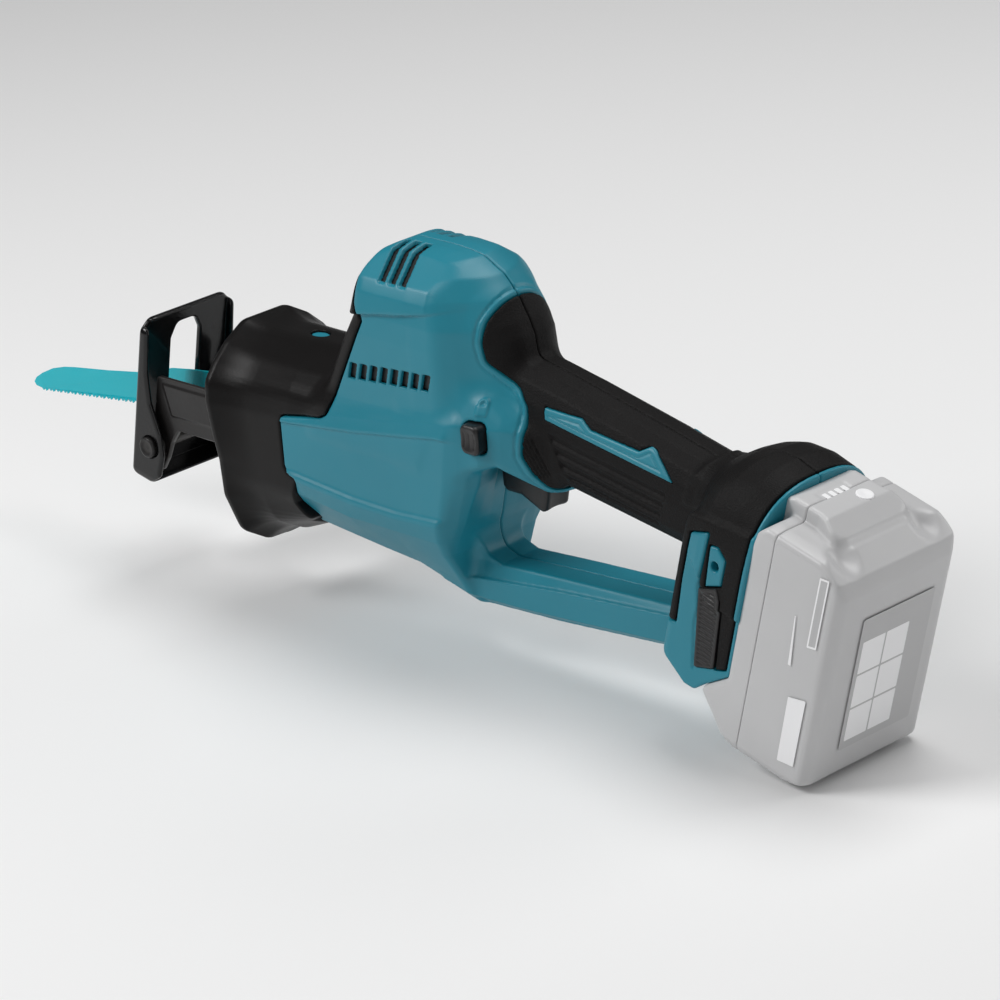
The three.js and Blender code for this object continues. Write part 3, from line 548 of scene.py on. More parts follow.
# The next four are in the battery's frame.
HOOD_SKIN = filleted(
    [(-112, 72), (-94, 76), (-81.8, 83.7), (-71.2, 89.2), (-71.3, 75.4), (-72, 62), (-59, 62), (-56, 28),
     (-50.2, 31), (-50.2, 130), (-112, 130)], 0.6)
FRONT_STRIP = filleted([(-98, 92), (-81.4, 86), (-81.9, 74), (-82, 60), (-81, 38.8), (-98, 33)], 0.8)
WINDOW = filleted([(-69.5, 84), (-64.9, 85.2), (-59.6, 81.4), (-59.6, 68.7), (-68.2, 63.8)], 0.6)
PAD = filleted([(-71.9, 61.4), (-61.2, 67), (-58.8, 62), (-56.6, 28.6), (-67, 23.8)], 1)
STRIP_LINE = [(-71.1, 89), (-71.4, 75), (-72.6, 60.8), (-70.6, 51.8), (-71, 43.3), (-67.6, 22.8)]
NOSE_EDGE = filleted(
    [(-256.5, 210), (-257.5, 164.5), (-253.3, 156.5), (-279.6, 107.6), (-283.4, 105.4), (-309.8, 100.8),
     (-311.4, 97), (-311.2, 76.5), (-309.4, 73.4), (-303.2, 71.4), (-305, 67), (-308.4, 57.6), (-306.6, 52),
     (-306, 48), (-311, 44.6), (-313, 20), (-420, 20), (-420, 210)], 1.2)


def grip_region(s):
    """Where soft grip covers the body, seen from the side."""
    bx, bz = battery_axes(s)
    handle_skin = np.maximum(outline(GRIP_EDGE, s.x, s.z), bx + 89)
    skin = np.minimum(handle_skin, outline(HOOD_SKIN, bx, bz))
    skin = np.maximum(np.minimum(skin, outline(FRONT_STRIP, bx, bz)), bx + 50.2)
    return np.maximum(skin, -outline(WINDOW, bx, bz))


def groove(path_distance, width):
    """How deep a fine moulded groove lies, as a share of its depth."""
    return np.clip(1 - path_distance / width, 0, 1)


def body_relief(s, region):
    """How far the hard housing's surface is sunk for its grooves and fine lines."""
    bx, bz = battery_axes(s)
    sunk = 0.7 * groove(np.abs(region - 2.6), 0.8) * (s.x > -200) * (s.z > 90) * (s.x < -146)
    return np.maximum(sunk, 0.9 * groove(line(STRIP_LINE, bx, bz), 1.1))


SIDE_SLOTS = 8
SIDE_PITCH = 6.55
CROWN_SLOTS = 3
CROWN_PITCH = 6.5
VENT_WALL = 2.2
SHADE_SHEET = 1.6  # how thick the black sheet behind the slots is; it is painted shade for the dark inside of the vents


def vents(s):
    """The row of slanted slots low on the side and the long slots over the crown."""
    lean, row = 0.28 * (s.z - 131.5), s.z - 131.6
    side_slots = [
        inside_all(within(s.x, SIDE_PITCH * i - 261.5 + lean, 2.3), within(row, 0.5 * i, 3.9))
        for i in range(SIDE_SLOTS)]
    crown_slots = [
        within(s.x, CROWN_PITCH * i - 245.6 + 0.4 * (186 - s.z), 2.2) for i in range(CROWN_SLOTS)]
    low = np.maximum(np.minimum.reduce(side_slots), 24 - s.side)
    crown = inside_all(np.minimum.reduce(crown_slots), 6 - s.side, 175.4 - s.z)
    return np.minimum(low, crown)


def vent_pocket(s, grow=0.0):
    """Where the wall behind the slots is thin."""
    low = inside_all(within(s.x, -238.5, 28), within(s.z, 133.4, 8), 24 - s.side)
    crown = inside_all(within(s.x, -236, 16), 173 - s.z, 4 - s.side)
    return np.minimum(low, crown) - grow


def rail_room(s):
    """The groove that takes the battery's rails."""
    bx, bz = battery_axes(s)
    wide = np.maximum(within(bx, -59.5, 5.5), s.side - 31.6)
    narrow = np.maximum(within(bx, -48, 7), s.side - 27.4)
    return np.maximum(np.minimum(wide, narrow), bz - 101)


def build_body():
    """The hard shells, the soft grip over them and a black sheet behind the slots, painted shade for the
    dark inside of the vents.
    """
    s = Space((-322, -3, 18), (-8, 45, 196), STEP)
    shape = body(s)
    region = grip_region(s)
    bx, bz = battery_axes(s)
    room = rail_room(s)
    middle = SEAM - s.y

    skin_shape = meet(meet(shape + rib_relief(s), region + 0.3, 0.9), -(shape + SKIN))
    skin_shape = cut(skin_shape, inlay_region(s) - 0.25, 0.3)
    skin_shape = meet(cut(skin_shape, room), middle, 0.15)

    hard = meet(shape + body_relief(s, region), -(region - 0.3), 0.9)
    hard = join(hard, shape + SKIN + 0.3)
    hard = meet(hard, -(outline(NOSE_EDGE, s.x, s.z) - 0.35), 0.8)
    pad = outline(PAD, bx, bz)
    hard = cut(hard, np.maximum(pad - 0.3, -(shape + 2.4)), 0.3)
    hard = cut(hard, vents(s), 0.4)
    hard = cut(hard, shape + SKIN + 0.3 + WALL)
    hard = cut(hard, np.maximum(vent_pocket(s), shape + VENT_WALL))
    hard = cut(hard, lock_shape(s, 0.5), 0.5)
    trigger_room = inside_all(within(s.x, -182, 19), s.side - 9.4, within(s.z, 88, 18))
    hard = cut(hard, trigger_room, 0.6)
    hard = cut(hard, room)
    hard = meet(hard, middle, 0.5)
    screw = np.maximum(disc(bx + 64.8, bz - 76, 2.3), 24 - s.side)
    hard = cut(hard, screw, 0.4)
    hard = join(hard, np.maximum(padlock(s), shape - 0.6), 0.2)
    # A black sheet just behind the thinned wall, seen through the slots: painted shade for the dark inside
    # of the vents.
    shade_sheet = inside_all(shape + VENT_WALL, -(shape + VENT_WALL + SHADE_SHEET), vent_pocket(s, 0.9))

    for side, sign in SIDES.items():
        shell = surface("housing_shell_" + side, s, hard, DRAWING, TEAL, mirror=sign < 0)
        settle(shell, "body", "teal_plastic", "housing_" + side)
        skin = surface("grip_skin_" + side, s, skin_shape, DRAWING, GRIP, mirror=sign < 0)
        settle(skin, "body", "soft_grip", "grip_" + side)
        # The black sheet behind the slots is painted shade.
        dark = surface("vent_shade_sheet_" + side, s, shade_sheet, DRAWING, BLACK, mirror=sign < 0)
        settle(dark, "body", "soft_grip")


LOCK = (-188, 114.5)
LOCK_HALF = 5.5
LOCK_HIGH = 6.9
LOCK_CORNER = 3.4
PADLOCK = (-185.6, 128)
PADLOCK_SCALE = 1.3


def lock_shape(s, grow=0.0):
    """A rounded rectangle across the housing where the lock button slides."""
    u = np.abs(s.x - LOCK[0]) - LOCK_HALF - grow + LOCK_CORNER
    v = np.abs(s.z - LOCK[1]) - LOCK_HIGH - grow + LOCK_CORNER
    outside = np.sqrt(np.maximum(u, 0) ** 2 + np.maximum(v, 0) ** 2)
    return outside + np.minimum(np.maximum(u, v), 0) - LOCK_CORNER


def padlock(s):
    """A raised padlock outline above the lock button."""
    u = (s.x - PADLOCK[0]) / PADLOCK_SCALE
    v = (s.z - PADLOCK[1]) / PADLOCK_SCALE
    case = np.maximum(within(u, 0, 2.1), within(v, -1, 1.6))
    bow = np.abs(disc(u, v - 1, 1.35)) - 0.5
    return np.minimum(case, np.maximum(bow, 0.6 - v))


RIB_PANEL = [(-156.2, 120.6), (-86.5, 107.2), (-93.2, 90.8), (-145.6, 99.6), (-149.5, 104.5)]
RIB_SLOPE = -0.182
RIB_PITCH = 5.2
RIB_PATCH = [(-168.2, 115.6), (-162.4, 116.4), (-154.4, 100.4), (-161.4, 97.2), (-166.6, 102)]


def rib_relief(s):
    """How far the grip is sunk between its long ribs, and between the fine ones ahead of them."""
    panel = outline(RIB_PANEL, s.x, s.z)
    below = 120.6 + RIB_SLOPE * (s.x + 156.2) - s.z
    share = below / RIB_PITCH % 1
    louvre = 1.4 * np.minimum(share / 0.68, (1 - share) / 0.32) * np.clip(-panel / 0.6, 0, 1)
    patch = outline(RIB_PATCH, s.x, s.z)
    line_place = (s.x + 0.5 * s.z) % 1.8 - 0.9
    fine = 0.9 * np.clip(1.2 - 2 * np.abs(line_place), 0, 1) * np.clip(-patch / 0.5, 0, 1)
    return (louvre + fine) * (s.side > 6)


INLAY = [(-157.5, 130.6), (-136.6, 129.4), (-131, 125.6), (-103.4, 121.6), (-96.6, 125), (-83.2, 112.2),
         (-157.2, 125.4)]


INLAY_INNER = 13  # the inlays keep to the handle's sides, this far from the middle plane


def inlay_region(s):
    return np.maximum(outline(INLAY, s.x, s.z), INLAY_INNER - s.side)


def build_inlays():
    """The coloured inlays in the grip and the ribbed pads in the foot, each with its fine relief."""
    s = Space((-160, 4, 80), (-20, 45, 135), FINE)
    shape = join(handle(s), foot(s), 7)
    flat = inlay_region(s)
    sunk = 0.5 * groove(np.abs(outline(INLAY, s.x, s.z) + 2.4), 0.6)
    inlay = meet(meet(shape - 0.35 + sunk, flat, 0.5), -(shape + 1.6))
    for side, sign in SIDES.items():
        piece = surface("grip_inlay_plate_" + side, s, inlay, DRAWING, TEAL, mirror=sign < 0)
        settle(piece, "body", "teal_plastic", "grip_inlay_" + side)

    s = Space((-75, 30, 30), (-20, 40, 86), FINE)
    bx, bz = battery_axes(s)
    flat = outline(PAD, bx, bz)
    rib = 0.45 * np.clip(np.abs((bz % 2.1) - 1.05) / 0.5 - 0.5, 0, 1) * np.clip(-(flat + 1.2), 0, 1)
    pad = meet(meet(foot(s) - 0.5 + rib, flat, 0.5), 34.4 - s.y)
    for side, sign in SIDES.items():
        piece = surface("foot_pad_ribbed_" + side, s, pad, DRAWING, BLACK, mirror=sign < 0)
        settle(piece, "body", "soft_grip", "foot_pad_" + side)


build_body()
build_inlays()


# ------------ rubber nose
RIM_OUTLINE = filleted(
    [(-60, 131.6), (13, 131.6), (25, 124.6), (33.3, 117.2), (39.8, 109.4), (40.8, 99), (38.9, 82),
     (36.8, 70), (36.4, 53), (29, 33.6), (15, 25.2), (0, 24.4), (-60, 24.4)], 10)
NECK_OUTLINE = filleted(
    [(-60, 128.6), (9, 128.6), (24, 120), (33, 110), (35.2, 98), (34.8, 63), (27.8, 43), (9, 33),
     (-60, 33)], 18)
TAIL_OUTLINE = filleted(
    [(-60, 128.6), (7, 128.6), (24, 121), (33.6, 113), (35.4, 100), (35.4, 63), (27, 48.5), (8, 43),
     (-60, 43)], 14)
RIM_PLACE = -352.7
RIM_LEAN = 0.04
LIP = 3.4  # how far the front lip stands ahead of the widest ring


def nose_field(s):
    """The flared front rim, the waist behind it and the brow that runs up the front of the dome."""
    behind = s.x - RIM_PLACE + (s.z - 78) * RIM_LEAN  # distance behind the widest ring
    to_neck = np.clip((behind - 0.6) / 19, 0, 1)
    to_neck = to_neck * (2 - to_neck)
    to_tail = np.clip((behind - 22) / 26, 0, 1)
    rim = outline(RIM_OUTLINE, s.side, s.z)
    neck = outline(NECK_OUTLINE, s.side, s.z)
    tail = outline(TAIL_OUTLINE, s.side, s.z)
    across = rim + (neck - rim) * to_neck
    across = across + (tail - across) * to_tail
    return meet(across, np.maximum(-behind - LIP, s.x + 262), 2.6)


def build_nose():
    s = Space((-362, -44, 18), (-246, 44, 196), STEP)
    edge = outline(NOSE_EDGE, s.x, s.z)
    motor_dome = dome(s)
    outer = join(nose_field(s), motor_dome - 0.2, 7)
    outer = meet(outer, edge + 0.35, 1.0)
    inside = np.maximum(outer + 4.5, -346 - s.x)
    opening = inside_all(s.side - 25, within(s.z, 83, 25), s.x + 330)  # for the stroke shaft
    under_brow = np.maximum(motor_dome + 3.2, 108 - s.z)
    rubber = cut(cut(cut(outer, inside), opening, 1.5), under_brow)
    oval = disc((s.x + 318) / 1.4, s.y, 3.9)
    rubber = cut(rubber, np.maximum(oval, 110 - s.z), 0.5)
    piece = surface("nose_boot", s, rubber, DRAWING, NOSE)
    settle(piece, "body", "soft_grip", "nose_bumper")
    plug = meet(np.maximum(outer + 0.9, -(outer + 3.2)), np.maximum(oval + 0.25, 110 - s.z), 0.5)
    piece = surface("nose_boot_plug", s, plug, DRAWING, TEAL)
    settle(piece, "body", "teal_plastic")


build_nose()


# ------------ battery pack
PACK_HALF = 38
PACK_SIDE = filleted(
    [(-39.7, -3.2), (-12, -2.6), (2, 1.2), (2, 93.6), (-1.6, 100.4), (-12, 107.2), (-42.6, 107.4),
     (-47, 102.4), (-48.2, 96), (-48.2, 28.6), (-61.8, 16.6), (-45, -0.9)], 3)
PACK_PLAN = filleted([(-80, -50), (-80, PACK_HALF), (-2.5, PACK_HALF), (2, 33), (2, -50)], 5)
PACK_ACROSS = filleted(
    [(-60, 109), (30, 108.4), (36.4, 106.8), (PACK_HALF, 103.6), (PACK_HALF, 1.6), (35.4, -3.2),
     (-60, -3.2)], 2)
TOP_BLOCK = filleted([(-49, 92), (-49, 112.6), (-45, 114.4), (-26, 114.6), (-17, 110), (-4, 96)], 2)
PACK_SEAM = -37
GAUGE = (-30, 8)  # where the gauge's button stands
GAUGE_FLOOR = 114.2  # the charge bars lie at this height


def pack_field(s):
    side = outline(PACK_SIDE, s.x, s.z)
    plan = outline(PACK_PLAN, s.x, s.side)
    across = outline(PACK_ACROSS, s.side, s.z)
    shape = meet(meet(side, plan, 2.5), across, 2)
    top_half = ramp(s.x, (-49, 20), (-30, 20), (-8, 27))
    top = meet(outline(TOP_BLOCK, s.x, s.z), (s.side - top_half) * 0.95, 2)
    shape = join(shape, top, 2)
    scoop = np.sqrt((s.x + 7) ** 2 * 0.5 + (s.side - 25) ** 2 + ((s.z - 111.5) * 0.8) ** 2) - 7.6
    shape = cut(shape, scoop, 3)
    return shape


def pack_rails(s):
    wide = meet(meet(s.side - 31, within(s.x, -59.2, 4.8)), within(s.z, 60, 40), 0.8)
    narrow = inside_all(s.side - 27, within(s.x, -50.5, 4.2), within(s.z, 58, 42))
    slots = np.minimum(within(s.side, 20, 1.6), within(s.side, 8, 1.1))
    slots = inside_all(slots, within(s.x, -62, 8), within(s.z, 84, 26))
    return cut(join(wide, narrow), slots, 0.4)


def build_battery():
    s = Space((-66, -41, -6), (5, 41, 118), STEP)
    shape = pack_field(s)
    shape = shape + 0.12 * groove(np.abs(s.x - PACK_SEAM), 0.7)
    inside = np.maximum(pack_field(s) + 2.6, s.x + 45.5)
    shell = cut(shape, inside)
    lower = meet(shell, PACK_SEAM + 0.04 - s.x, 0.2)
    piece = surface("battery_tub", s, lower, BATTERY, PALE)
    settle(piece, "battery", "battery_plastic", "battery_lower_case")

    latch_room = inside_all(s.side - 14.4, within(s.x, -48, 10), s.z - 10)
    button_bore = np.maximum(disc(s.x - GAUGE[0], s.y - GAUGE[1], 4.4), 109.8 - s.z)
    upper = meet(join(shell, pack_rails(s), 0.6), s.x - PACK_SEAM + 0.04, 0.2)
    upper = cut(cut(upper, latch_room, 0.5), button_bore, 0.5)
    gauge = inside_all(within(s.x, -37.5, 4.6), within(s.y, -1, 9), GAUGE_FLOOR - s.z)
    upper = cut(upper, gauge, 0.3)
    piece = surface("battery_lid", s, upper, BATTERY, PALE)
    settle(piece, "battery", "battery_plastic", "battery_upper_case")


def rounded_plate(name, width, height, corner, thickness, place, material):
    """A thin film or window with round corners, its rim softened, centred on place."""
    half_u, half_v = width / 2, height / 2
    ring = filleted([(-half_u, -half_v), (half_u, -half_v), (half_u, half_v), (-half_u, half_v)], corner, 6)
    rim = min(0.25, thickness / 2)
    rise = [(1.0, 0.0), (1.0, thickness - rim), (1 - rim / half_u, thickness)]
    points = [(u * k, v * (1 - (1 - k) * half_u / half_v), w) for k, w in rise for u, v in ring]
    count = len(ring)
    faces = [tuple(range(count))[::-1], tuple(range(2 * count, 3 * count))]
    for level in range(len(rise) - 1):
        for i in range(count):
            a, b = level * count + i, level * count + (i + 1) % count
            faces.append((a, b, b + count, a + count))
    return faced(name, points, faces, place, material)


def on_face(frame_matrix, position, u_axis, v_axis):
    """The placing of a plate whose width runs along u_axis and whose height runs along v_axis."""
    u, v = Vector(u_axis).normalized(), Vector(v_axis).normalized()
    turn = Matrix((u, v, u.cross(v))).transposed().to_4x4()
    return frame_matrix @ Matrix.Translation(position) @ turn


def slanted(name, ring, y, thickness, material):
    """A thin film on the battery's left side, its ring drawn as pairs of (x, z)."""
    depth = math.copysign(thickness, y)
    points = [(x, y, z) for x, z in ring] + [(x, y + depth, z) for x, z in ring]
    count = len(ring)
    faces = [tuple(range(count)), tuple(range(count, 2 * count))[::-1]]
    faces += [(i, i + count, (i + 1) % count + count, (i + 1) % count) for i in range(count)]
    return faced(name, points, faces, BATTERY, material)


FILM = 0.08
CHARGE_BARS = 4
LABEL_ROWS, LABEL_COLUMNS = 3, 2
SIDE_FILMS = {
    "block": filleted([(-14.4, 7.4), (-14.9, 39.3), (-5.6, 42.2), (-5.6, 9)], 0.5),
    "bar": filleted([(-10.6, 66.6), (-10.6, 101), (-5.6, 102), (-5.6, 68)], 0.5),
    "stroke": [(-19.4, 77.4), (-18.9, 77.4), (-16.7, 53.8), (-18.2, 53.8)],
}
BAR_INSIDE = filleted([(-9.8, 67.8), (-9.8, 100.2), (-6.4, 101), (-6.4, 68.8)], 0.3)


def build_battery_trim():
    """Blank label films and the charge gauge's bars. They carry no lettering."""
    def film(name, size, position, u_axis, v_axis, material, corner=0.6):
        place = on_face(BATTERY, position, u_axis, v_axis)
        piece = rounded_plate(name, *size, corner, FILM, place, material)
        settle(piece, "battery", "battery_plastic")

    back = dict(u_axis=(0, 1, 0), v_axis=(0, 0, 1))
    film("rear_label_panel", (45, 66), (2, 3, 47), material=PRINT, corner=1.5, **back)
    for row in range(LABEL_ROWS):
        for column in range(LABEL_COLUMNS):
            spot = (2 + FILM, -10 + 15 * column, 26 + 17 * row)
            film(f"rear_label_cell_{row}_{column}", (14, 16), spot, material=LABEL, **back)
    for name, ring in SIDE_FILMS.items():
        settle(slanted("side_label_" + name, ring, -PACK_HALF, FILM, LABEL), "battery", "battery_plastic")
    inside = slanted("side_label_bar_inside", BAR_INSIDE, -PACK_HALF - FILM, FILM / 2, PRINT)
    settle(inside, "battery", "battery_plastic")
    top = dict(u_axis=(1, 0, 0), v_axis=(0, 1, 0))
    for bar in range(CHARGE_BARS):
        spot = (-37.5, -6.6 + 3.8 * bar, GAUGE_FLOOR)
        film(f"charge_bar_{bar + 1}", (5.6, 2.4), spot, material=LABEL, **top)


build_battery()
build_battery_trim()


# ------------ shoe and bracket
PIN_BORE = 3.35
STROKE_HEIGHT = 84  # the height of the stroke shaft's axis
SHOE_HALF = 28
SHOE_WALL = 2.6
SHOE_SIDE = filleted(
    [(-12, -17), (-9.5, -20.5), (1, -20.5), (8, -13.5), (9.5, -2), (6.5, 9), (-1.5, 22), (-5, 36),
     (-6.2, 59), (-8, 64), (-12, 62.6)], 2.5)
SHOE_FACE = filleted([(-60, -20.5), (28, -20.5), (28, 57.5), (22, 64), (-60, 64)], 5)
SHOE_SLOT = filleted([(-9, -6), (9, -6), (9, 48), (5.5, 55.5), (-5.5, 55.5), (-9, 48)], 4)


def build_shoe():
    """A pressed steel shoe: a slotted face with its sides and top folded back."""
    s = Space((-14, -30, -22.5), (12, 30, 66.5), FINE)
    side = outline(SHOE_SIDE, s.x, s.z)
    face = outline(SHOE_FACE, s.side, s.z)
    block = meet(side, face, 2.4)
    hollow = inside_all(s.side - SHOE_HALF + SHOE_WALL, -9.2 - s.x, within(s.z, 21.7, 39.6))
    shape = cut(block, hollow, 2.0)
    shape = cut(shape, np.maximum(outline(SHOE_SLOT, s.y, s.z), -50 - s.x), 1.0)
    shape = cut(shape, disc(s.x, s.z, PIN_BORE), 0.3)
    dish = np.maximum(disc(s.x, s.z, 5.4), 27.3 - s.side)
    shape = cut(shape, dish, 0.5)
    piece = surface("folded_shoe", s, shape, SHOE, GLOSS)
    settle(piece, "shoe", "shoe_black", "shoe")


ARM_SIDE = filleted(
    [(-344, 70.4), (-344, 95.8), (-410.6, 95.8), (-414.3, 80), (-417.6, 66), (-421.5, 54), (-420.5, 49),
     (-413.5, 47.6), (-408.5, 55), (-404.5, 63.5), (-399, 70.4)], 2.2)
ARM_PANEL = filleted([(-340, 77.5), (-340, 93), (-407, 93), (-402.2, 77.5)], 1.2)


def build_bracket():
    s = Space((-424, -28, 45), (-340, 28, 109), FINE)
    flat = outline(ARM_SIDE, s.x, s.z)
    panel = outline(ARM_PANEL, s.x, s.z)
    bulge = 1.5 * np.clip(0.5 - panel / 1.6, 0, 1) + 0.35 * np.clip((s.z - 70.4) / 3, 0, 1)
    arm = slab(flat, 1.3, np.abs(s.side - 21.5), 0.6)
    raised = meet(np.maximum(flat + 0.4, 21.5 - s.side), s.side - 22.4 - bulge * 0.55, 0.6)
    pin_x, pin_z = s.x - PIVOT[0], s.z - PIVOT[1]
    boss = np.maximum(disc(pin_x, pin_z, 5.2), within(s.side, 23.5, 1.5))
    shape = join(join(arm, raised, 0.4), boss, 1.0)
    floor = inside_all(within(s.x, -356, 14), s.side - 21, within(s.z, 71.4, 0.9))
    plate = inside_all(within(s.x, -343.6, 1.6), s.side - 23, within(s.z, 83, 22.5))
    shape = join(join(shape, floor, 2), plate, 2.5)
    shape = cut(shape, disc(pin_x, pin_z, PIN_BORE))
    shape = cut(shape, np.maximum(disc(s.y, s.z - STROKE_HEIGHT, 12), -352 - s.x), 0.8)
    piece = surface("pressed_bracket", s, shape, DRAWING, GUNMETAL)
    settle(piece, "body", "gunmetal", "shoe_bracket")


def turned(name, profile, place, material, sides=48):
    """A piece turned on its X axis from pairs of (x, radius), closed at both ends."""
    points, faces = [], []
    for x, radius in profile:
        for k in range(sides):
            angle = 2 * math.pi * k / sides
            points.append((x, radius * math.cos(angle), radius * math.sin(angle)))
    for ring in range(len(profile) - 1):
        for k in range(sides):
            a, b = ring * sides + k, ring * sides + (k + 1) % sides
            faces.append((a, a + sides, b + sides, b))
    faces.append(tuple(range(sides)))
    faces.append(tuple(range((len(profile) - 1) * sides, len(profile) * sides))[::-1])
    piece = faced(name, points, faces, place, material)
    for polygon in piece.data.polygons:
        polygon.use_smooth = len(polygon.vertices) == 4
    return piece


def build_pin():
    """The hinge pin: a head with a dished face, and the other end peened over a washer face."""
    head = [(-29.6, 0.6), (-29.2, 2.6), (-29.9, 3.4), (-30.2, 4.2), (-29.9, 4.9), (-29.2, 5.1), (-27.4, 5.1)]
    profile = head + [(-27.4, 3.0), (27.4, 3.0), (27.4, 4.6), (28.6, 4.6), (29.3, 3.6), (29.5, 0.6)]
    place = DRAWING @ Matrix.Translation((PIVOT[0], 0, PIVOT[1])) @ Matrix.Rotation(math.pi / 2, 4, "Z")
    piece = turned("hinge_pin", profile, place, PIN)
    settle(piece, "body", "gunmetal", "shoe_pivot_pin")


def build_collar():
    """The blade clamp's twist collar, with grip flutes cut round it."""
    s = Space((-373, -13, 71), (-353, 13, 97), FINE)
    radius = disc(s.y, s.z - STROKE_HEIGHT, 0)
    angle = np.arctan2(s.z - STROKE_HEIGHT, s.y)
    flutes = 0.5 * np.cos(angle * 16)
    ring = meet(radius - 10.2 + flutes * (within(s.x, -363, 5.5) < 0), within(s.x, -363, 8), 1.2)
    ring = cut(ring, radius - 6.9, 0.6)
    piece = surface("clamp_twist_collar", s, ring, DRAWING, STEEL)
    settle(piece, "clamp_collar", "steel", "blade_clamp_collar")


build_shoe()
build_bracket()
build_pin()
build_collar()


# ------------ blade
TOOTH_PITCH = 2.8
TOOTH_DEPTH = 1.3
TOOTH_SET = 0.32  # how far each tip is bent aside
BLADE_HALF = 0.5
BLADE_EDGE = (Vector((-527.5, 59.4)), Vector((-398, 73.7)))
BLADE_TANG = [
    (-396, 74), (-379, 75.8), (-372, 79.5), (-356, 79.5), (-356, 88.5), (-372, 88.5), (-380, 94.2)]
BLADE_SPINE = [
    (-397.3, 93.8), (-412, 92), (-426.8, 89.7), (-440, 85.6), (-451.9, 82.5), (-476, 78.6),
    (-500.7, 75.2), (-509.2, 73.7), (-518, 71.2), (-526, 67.4), (-531, 64.2), (-533, 61.6),
    (-531.6, 59.8)]


def build_blade():
    """A blade with real teeth, their tips bent in turn to each side."""
    start, end = BLADE_EDGE
    count = round((end - start).length / TOOTH_PITCH)
    along = (end - start) / count
    down = Vector((along.y, -along.x)).normalized()
    edge = []
    for i in range(count):
        root = start + along * i
        edge.append((root, 0.0))
        edge.append((root + along * 0.18 + down * TOOTH_DEPTH, TOOTH_SET * (-1) ** i))
        edge.append((root + along * 0.34 + down * TOOTH_DEPTH * 0.9, TOOTH_SET * (-1) ** i))
        edge.append((root + along * 0.8, 0.0))
    rim = edge + [(Vector(p), 0.0) for p in BLADE_TANG + BLADE_SPINE]
    count = len(rim)
    points = [(p.x, sign * BLADE_HALF + bend, p.y) for sign in (-1, 1) for p, bend in rim]
    front = tuple(range(count))
    faces = [front, tuple(i + count for i in front)[::-1]]
    faces += [(i, i + count, (i + 1) % count + count, (i + 1) % count) for i in range(count)]
    piece = faced("toothed_blade", points, faces, DRAWING, BLADE)
    bevel = piece.modifiers.new("rim", "BEVEL")
    bevel.width = 0.00012
    bevel.segments = 2
    bevel.limit_method = "ANGLE"
    settle(piece, "stroke", "blade_paint", "blade")


# ------------ trigger and buttons
TRIGGER_SIDE = filleted(
    [(-198, 92), (-197.8, 83), (-195.2, 80.4), (-186.3, 80.4), (-177.6, 76.6), (-173.6, 74.8),
     (-170.8, 76.2), (-169.4, 82), (-168.2, 90), (-168, 99), (-186, 99), (-198.4, 97)], 2.2)


def build_controls():
    s = Space((-200, -11, 74), (-154, 11, 101), FINE)
    flat = outline(TRIGGER_SIDE, s.x, s.z)
    dish = 0.8 * np.clip(1 - (s.side / 7) ** 2, 0, 1) * np.clip((92 - s.z) / 8, 0, 1)
    shape = slab(flat + dish, 8, s.side, 3.0)
    piece = surface("trigger_lever", s, shape, DRAWING, BLACK)
    settle(piece, "trigger", "control_plastic", "trigger")

    s = Space((-197, -36.5, 105), (-178, 36.5, 124), FINE)
    u, v = s.x - LOCK[0], s.z - LOCK[1]
    face = s.side - 35 + 0.9 * np.clip(1 - (u**2 + v**2) / 30, 0, 1)
    shape = meet(lock_shape(s), face, 2.0)
    ridges = 0.3 * groove(np.abs((u + 1.5) % 3 - 1.5), 0.6) * (np.abs(v) < 3.6) * (s.side > 32)
    piece = surface("lock_push_button", s, shape + ridges, DRAWING, BLACK)
    settle(piece, "lock_button", "control_plastic", "lock_button")

    s = Space((-54, -16, -5), (-41, 16, 11), FINE)
    key = slab(np.maximum(np.abs(s.x + 47.5) - 4.5, np.abs(s.z - 3.3) - 6.3), 14, s.side, 1.2)
    grip_lines = 0.5 * groove(np.abs(s.z % 2.4 - 1.2), 0.8) * (s.x < -50) * (s.side < 11)
    piece = surface("battery_release_key", s, key + grip_lines, BATTERY, BLACK)
    settle(piece, "latch_button", "control_plastic", "battery_latch_button")

    s = Space((-36, 2, 110), (-24, 14, 117), FINE / 2)
    radius = disc(s.x - GAUGE[0], s.y - GAUGE[1], 0)
    cap = meet(meet(radius - 4, 111.3 - s.z), s.z - 115 + 0.25 * np.clip(1 - radius / 3, 0, 1), 0.5)
    piece = surface("gauge_push_button", s, cap, BATTERY, LABEL)
    settle(piece, "gauge_button", "battery_plastic", "gauge_button")


build_blade()
build_controls()


# ------------ CAD nodes that show as they are
INNER_LOOKS = {
    CAST: ("gear_case", "gear_cover"),
    STEEL: ("motor_pinion", "crank_gear", "crank_bearing", "crank_pin", "stroke_shaft", "motor_rotor",
            "motor_bearing_low", "motor_bearing_high", "blade_clamp_pin", "trigger_spring"),
    BRONZE: ("crank_roller", "shaft_bush_front", "shaft_bush_rear", "terminal_block"),
    COPPER: ("motor_stator",),
    BLACK: ("cooling_fan", "switch_unit"),
    BOARD: ("controller_board", "battery_board"),
    CELL_SLEEVE: tuple(f"battery_cell_{i}" for i in range(1, 11)),
}
for material, names in INNER_LOOKS.items():
    for name in names:
        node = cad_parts[name]
        node.data.materials.clear()
        node.data.materials.append(material)
        edge = node.modifiers.new("soft_edges", "BEVEL")
        edge.width = 0.0002
        edge.segments = 2
        edge.limit_method = "ANGLE"


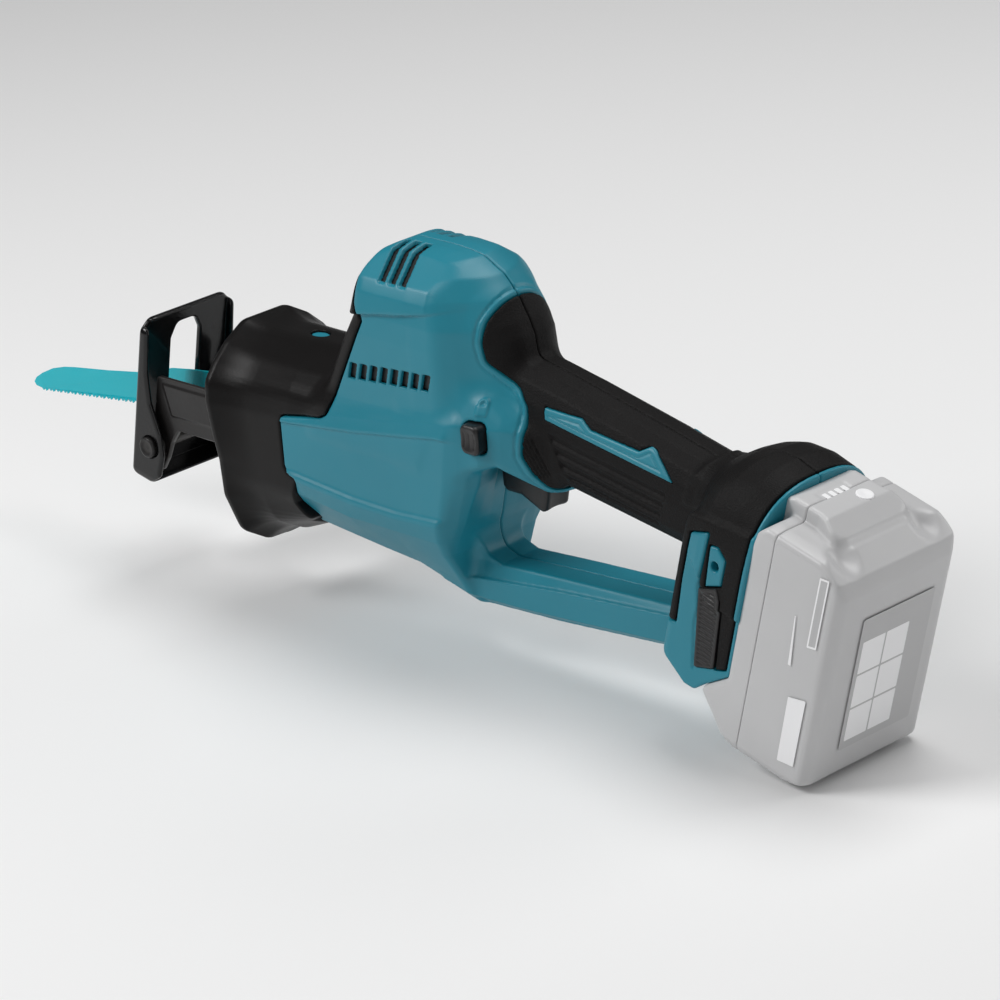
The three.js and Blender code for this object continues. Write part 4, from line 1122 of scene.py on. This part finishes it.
# ------------ floor, lights and camera
def build_stage():
    bpy.ops.mesh.primitive_plane_add(size=14, location=(0, 0, -0.0005))
    floor = bpy.context.object
    floor.name = "floor"
    material, principled = shader("floor_paper", 0.75)
    principled.inputs["Base Color"].default_value = (0.86, 0.86, 0.86, 1)
    floor.data.materials.append(material)
    world = bpy.data.worlds.new("studio")
    bpy.context.scene.world = world
    world.use_nodes = True
    background = world.node_tree.nodes["Background"]
    background.inputs["Color"].default_value = (1, 1, 1, 1)
    background.inputs["Strength"].default_value = 0.10


def softbox(name, position, size, power, aim=(0, 0, 0.09)):
    """A soft area light that points at aim."""
    light = bpy.data.lights.new(name, "AREA")
    light.shape = "RECTANGLE"
    light.size, light.size_y = size
    light.energy = power
    lamp = bpy.data.objects.new(name, light)
    lamp.location = position
    lamp.rotation_euler = (Vector(aim) - Vector(position)).to_track_quat("-Z", "Y").to_euler()
    bpy.context.scene.collection.objects.link(lamp)


def build_lights():
    softbox("key", (-0.9, -1.3, 1.5), (1.0, 0.8), 27)
    softbox("fill", (1.5, -1.2, 0.7), (1.2, 1.0), 4.5)
    softbox("top", (0.2, 0.5, 1.9), (1.6, 1.0), 21)
    softbox("rim", (0.9, 1.5, 0.8), (1.2, 0.6), 6)


VIEW_RIGHT = Vector((0.7044, 0.7063, -0.0701))
VIEW_DOWN = Vector((0.2079, -0.2998, -0.9311))
VIEW_AHEAD = Vector((-0.6787, 0.6413, -0.3580))
VIEW_POINT = Vector((1241.8, -1369.57, 835.98))  # in the drawing frame


def build_camera():
    data = bpy.data.cameras.new("camera")
    data.sensor_width = 36
    data.lens = 172.8
    data.clip_start = 0.1
    camera = bpy.data.objects.new("camera", data)
    turn = Matrix((VIEW_RIGHT, -VIEW_DOWN, -VIEW_AHEAD)).transposed().to_4x4()
    camera.matrix_world = Matrix.Translation((VIEW_POINT + SHIFT) * MM) @ turn
    bpy.context.scene.collection.objects.link(camera)
    bpy.context.scene.camera = camera
    bpy.context.scene.view_settings.view_transform = "Standard"


build_stage()
build_lights()
build_camera()
